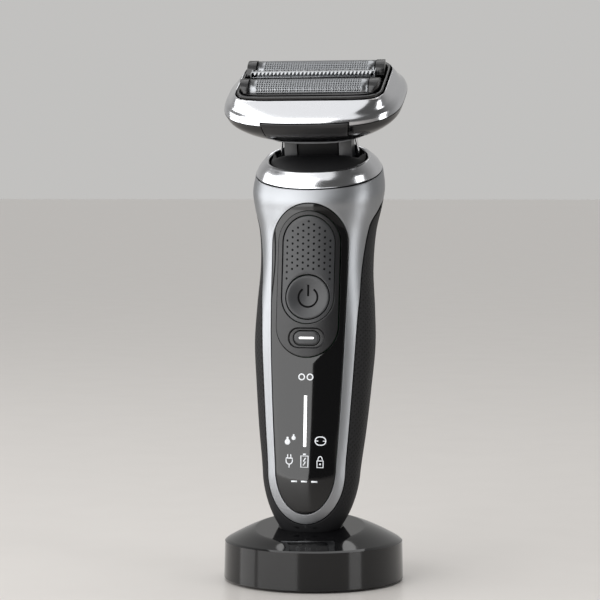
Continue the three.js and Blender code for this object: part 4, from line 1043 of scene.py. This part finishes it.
# The sheet's slots lean one way and then the other from row to row, and are a little coarser than real ones,
# so that they show.
def addFoil(side, word):
    y, half, strip = side * foil["y"], foil["half"], foil["strip"]
    cellCount = int(2 * (half - strip) / foil["pitch"])
    pitch = 2 * (half - strip) / cellCount
    rows = []
    for r in range(foil["rows"] + 1):
        shift = 0.25 * pitch if r % 2 else -0.25 * pitch
        edges = [-half + pitch / 4 + strip + i * pitch + shift for i in range(cellCount)]
        edges = [-half] + edges + [half - strip + shift, half]
        rows.append([archPoint(x, y, r / foil["rows"], foil["radius"]) for x in edges])
    bm = loopGrid(rows, closed=False)
    faceOut(bm, (0, y, foil["axis"]))
    holes = [f for f in bm.faces if abs(centre(f).x) < half - strip and centre(f).z > foil["leg"] + 0.3]
    bmesh.ops.inset_individual(bm, faces=holes, thickness=foil["web"], depth=0, use_even_offset=True)
    cutOut(bm, holes)
    piece(bm, word + "_foil_mesh", word + "_foil_unit", "foil_steel", foilNickel, headPlace, [word + "_foil"],
          wall=foil["sheet"], smooth=60)


cutter = {"radius": 3.2, "half": 17.5, "leaves": 30, "leaf": 0.22, "margin": 0.15, "foot": (2.2, 5.85),
          "barZ": 6.6, "barDeep": 2.6, "barHigh": 1.2}


# Cutter: thin half-round leaves on one carrier bar
def addCutter(side, word):
    bm = bmesh.new()
    y, half, axis, count = side * foil["y"], cutter["half"], foil["axis"], cutter["leaves"]
    reach, low = cutter["foot"]
    arch = ringPoints(0, axis, cutter["radius"], 0, 180, 14)
    outline = [(y + reach, low), *[(y + py, pz) for py, pz in arch], (y - reach, low)]
    for k in range(count):
        x = -half + cutter["margin"] + 2 * (half - cutter["margin"]) * k / (count - 1) - cutter["leaf"] / 2
        leaf = bm.faces.new([bm.verts.new((x, py, pz)) for py, pz in outline])
        drawOut(bm, [leaf], (cutter["leaf"], 0, 0))
    addBlock(bm, (0, y, cutter["barZ"]), (2 * half, cutter["barDeep"], cutter["barHigh"]))
    bmesh.ops.recalc_face_normals(bm, faces=bm.faces)
    piece(bm, word + "_cutter_leaves", word + "_cutter", "steel", bladeSteel, headPlace, [word + "_cutter"],
          smooth=30)


for side, word in ((-1, "front"), (1, "rear")):
    addFoil(side, word)
    addCutter(side, word)
    softened(word + "_foil_holder", word + "_foil_unit", "matt_black", polishedNylon, 0.35, 3)

softened("cassette_frame", "cassette", "matt_black", polishedNylon, 0.25)

# A tooth's outline: half widths and how far out, from its root to its tip
trimmer = {"half": 21, "deep": 1.9, "top": 9.6, "pitch": 1.3, "sheet": 0.4,
           "tooth": [(0.42, 0.25), (0.36, 1.3), (0.12, 1.88)], "tipDrop": 0.25}


# Trimmer comb: a folded steel channel whose two top edges are rows of pointed teeth
def addTrimmer():
    bm = bmesh.new()
    half, deep, top, sheet = trimmer["half"], trimmer["deep"], trimmer["top"], trimmer["sheet"]
    right = trimmer["tooth"]
    tooth = [(-right[0][0], right[0][1]), *right, *[(-x, y) for x, y in right[:0:-1]]]
    count = int(2 * (half - 0.6) / trimmer["pitch"])
    for side in (-1, 1):
        addBlock(bm, (0, side * (deep - sheet), 7), (2 * half, sheet, 2.8))
        for k in range(count):
            x = (k - (count - 1) / 2) * trimmer["pitch"]
            verts = [bm.verts.new((x + px, side * py, top - 0.45 - trimmer["tipDrop"] * (py > 1.4)))
                     for px, py in tooth]
            drawOut(bm, [bm.faces.new(verts)], (0, 0, sheet))
    addBlock(bm, (0, 0, top - 0.35), (2 * half, 0.7, 0.6))
    for end in (-1, 1):
        addBlock(bm, (end * (half - 0.15), 0, 7.55), (0.3, 2 * deep - 0.1, 3.9))
    bmesh.ops.recalc_face_normals(bm, faces=bm.faces)
    piece(bm, "trimmer_comb_teeth", "trimmer_unit", "steel", bladeSteel, headPlace, ["trimmer_comb"],
          bevel=0.06, segments=1, smooth=30)


addTrimmer()
print("cassette made")


# Stand: a low gloss dome whose flat top runs into the pocket that holds the shaver's tip

stand = {"radius": 30, "topRadius": 29.7, "wall": 13.2, "lift": 0.5, "plateau": 18.3, "y": -6, "height": 18.2,
         "tilt": 7.6, "bulge": 1.28, "pocketGap": 0.45, "thick": 1.3, "edge": 0.25, "window": (5, 4.8, 9.6),
         "rings": (1.8, 3.3, 4.8, 6.4, 8, 9.6, 11, 12.4), "count": 144}


def pocketEdge(turn):
    return crossing(lambda height: handlePlace @ skinPoint(turn, height, stand["pocketGap"]), -0.4, 24,
                    stand["tilt"], (0, stand["y"], stand["height"]))


def standMesh():
    half, low, high = stand["window"]
    radius, topRadius, wall, lift = stand["radius"], stand["topRadius"], stand["wall"], stand["lift"]
    count = stand["count"]
    side = degrees(asin(half / topRadius))
    turns = [360 * i / count for i in range(count)]
    for target in (90 - side, 90 + side):  # the window's two sides fall on the grid
        turns[min(range(count), key=lambda i: abs(turns[i] - target))] = target
    compass = [(cos(radians(t)), sin(radians(t))) for t in turns]

    def ring(reach, z, y=0.0, tilt=0.0):
        return raised([Vector((reach * c, reach * s, 0)) for c, s in compass], z, y, tilt)

    loops = [ring(radius - 0.3, lift)]
    for z in (lift + 0.3, *stand["rings"], wall - 0.25):
        loops.append(ring(radius + (topRadius - radius) * (z - lift) / (wall - lift), z))
    for i in range(1, 21):
        t = i / 20
        rise = 1 - (1 - t) ** stand["bulge"]
        loops.append(ring(topRadius + (stand["plateau"] - topRadius) * t - 0.12 * (i == 1),
                          wall + (stand["height"] - wall) * rise, stand["y"] * t, stand["tilt"] * t))
    edges = [(t + 90, pocketEdge(t + 90)) for t in turns]

    def pocket(share):
        return [handlePlace @ skinPoint(t, 0.1 + (h - 0.1) * share, stand["pocketGap"]) for t, h in edges]

    plateau, rim = loops[-1], pocket(1)
    loops += [[a.lerp(b, t) for a, b in zip(plateau, rim)] for t in (0.06, 0.2, 0.4, 0.6, 0.8, 0.94, 1)]
    bm = loopGrid(loops + [pocket(share) for share in (0.93, 0.75, 0.5, 0.3, 0.15, 0.06, 0)])
    cutOut(bm, [f for f in bm.faces if centre(f).y > 20 and abs(centre(f).x) < half - 0.05
                and low < centre(f).z < high])
    bmesh.ops.recalc_face_normals(bm, faces=bm.faces)
    if max(bm.faces, key=lambda f: centre(f).x).normal.x < 0:
        bmesh.ops.reverse_faces(bm, faces=bm.faces)
    return bm


piece(standMesh(), "stand_dome", "stand", "gloss_black", pianoBlack, world, ["stand_shell"],
      wall=stand["thick"], bevel=stand["edge"], segments=3, smooth=8, bevelAngle=40)
softened("charging_plug", "stand", "matt_black", mattNylon, 0.3)
softened("power_inlet", "stand", "matt_black", mattNylon, 0.25)
softened("stand_foot_ring", "stand", "foot_rubber", footRubber, 0.25)
softened("charging_socket", "handle", "matt_black", mattNylon, 0.25)
print("stand made")


# The parts inside keep their CAD shapes and take their real finishes

finishes = [
    (mattNylon, ["stand_base_plate", "power_switch", "mode_switch", "inner_chassis"]),
    (circuitGreen, ["stand_board", "main_board", "display_board"]),
    (brassPin, ["inlet_pin_left", "inlet_pin_right", "socket_pin_left", "socket_pin_right"]),
    (bladeSteel, ["stand_screw_1", "stand_screw_2", "stand_screw_3", "battery_tab_top", "battery_tab_bottom",
                  "rock_pin", "tilt_axle", "drive_stator", "trimmer_blade"]),
    (litWhite, ["light_guide"]), (cellWrap, ["battery_cell"]), (copperWire, ["drive_coil"]),
    (footRubber, ["drive_seal"]), (greyAbs, ["drive_bridge"]),
]
for material, names in finishes:
    for name in names:
        nodes[name].data.materials.clear()
        nodes[name].data.materials.append(material)


# Floor, lights and the pale room

ground = {"size": 30, "drop": 0.0002}  # metres


def addFloor():
    bm = bmesh.new()
    bmesh.ops.create_grid(bm, x_segments=2, y_segments=2, size=ground["size"])
    mesh = bpy.data.meshes.new("floor")
    bm.to_mesh(mesh)
    bm.free()
    floor = bpy.data.objects.new("floor", mesh)
    floor.location.z = -ground["drop"]
    scene.collection.objects.link(floor)
    mesh.materials.append(grained("pale_satin_floor", "#cdc9c5", "#c8c4c0", 0.3, 0.03, 40, 0.004))


addFloor()

lights = [
    # name, turn from the front, height, distance, width, height of the panel, watts
    ("left_softbox", -36, 0.42, 1.15, 1.27, 0.95, 13),
    ("left_rear", -82, 0.35, 1.1, 0.56, 0.8, 5),
    ("right_strip", 66, 0.35, 1.2, 0.36, 0.9, 4),
    ("front_top", -18, 0.96, 0.75, 1.1, 0.76, 3),
]
aimPoint = (0, 0, 0.09)
overhead = {"strength": 1.5, "spread": 60, "tilt": 8}


def addLights():
    for name, turn, height, far, width, tall, watts in lights:
        data = bpy.data.lights.new(name, "AREA")
        data.shape = "RECTANGLE"
        data.size, data.size_y, data.energy = width, tall, watts
        lamp = bpy.data.objects.new(name, data)
        angle = radians(turn)
        lamp.location = (far * sin(angle), -far * cos(angle), height)
        aim = Vector(aimPoint) - lamp.location
        lamp.rotation_euler = aim.to_track_quat("-Z", "Y").to_euler()
        lamp.visible_camera = False
        scene.collection.objects.link(lamp)
    data = bpy.data.lights.new("overhead", "SUN")
    data.energy, data.angle = overhead["strength"], radians(overhead["spread"])
    lamp = bpy.data.objects.new("overhead", data)
    lamp.rotation_euler.x = -radians(overhead["tilt"])
    scene.collection.objects.link(lamp)


addLights()


room = {"colour": "#f3f2f0", "front": 0.12, "behind": 0.6}


# The room is pale behind the shaver and darker in front of it.
def addRoom():
    scene.world = bpy.data.worlds.new("room")
    scene.world.use_nodes = True
    tree = scene.world.node_tree
    shade = tree.nodes["Background"]
    place = addNode(tree, "TexCoord").outputs["Generated"]
    split = addNode(tree, "SeparateXYZ", Vector=place)
    behind = addNode(tree, "MapRange", {"From Min": -0.35, "From Max": 0.6, "To Min": room["front"],
                                        "To Max": room["behind"]}, Value=split.outputs["Y"])
    connect(tree, shade, {"Strength": behind})
    shade.inputs["Color"].default_value = linear(room["colour"])


addRoom()
scene.view_settings.view_transform = "Standard"
print("stage made")
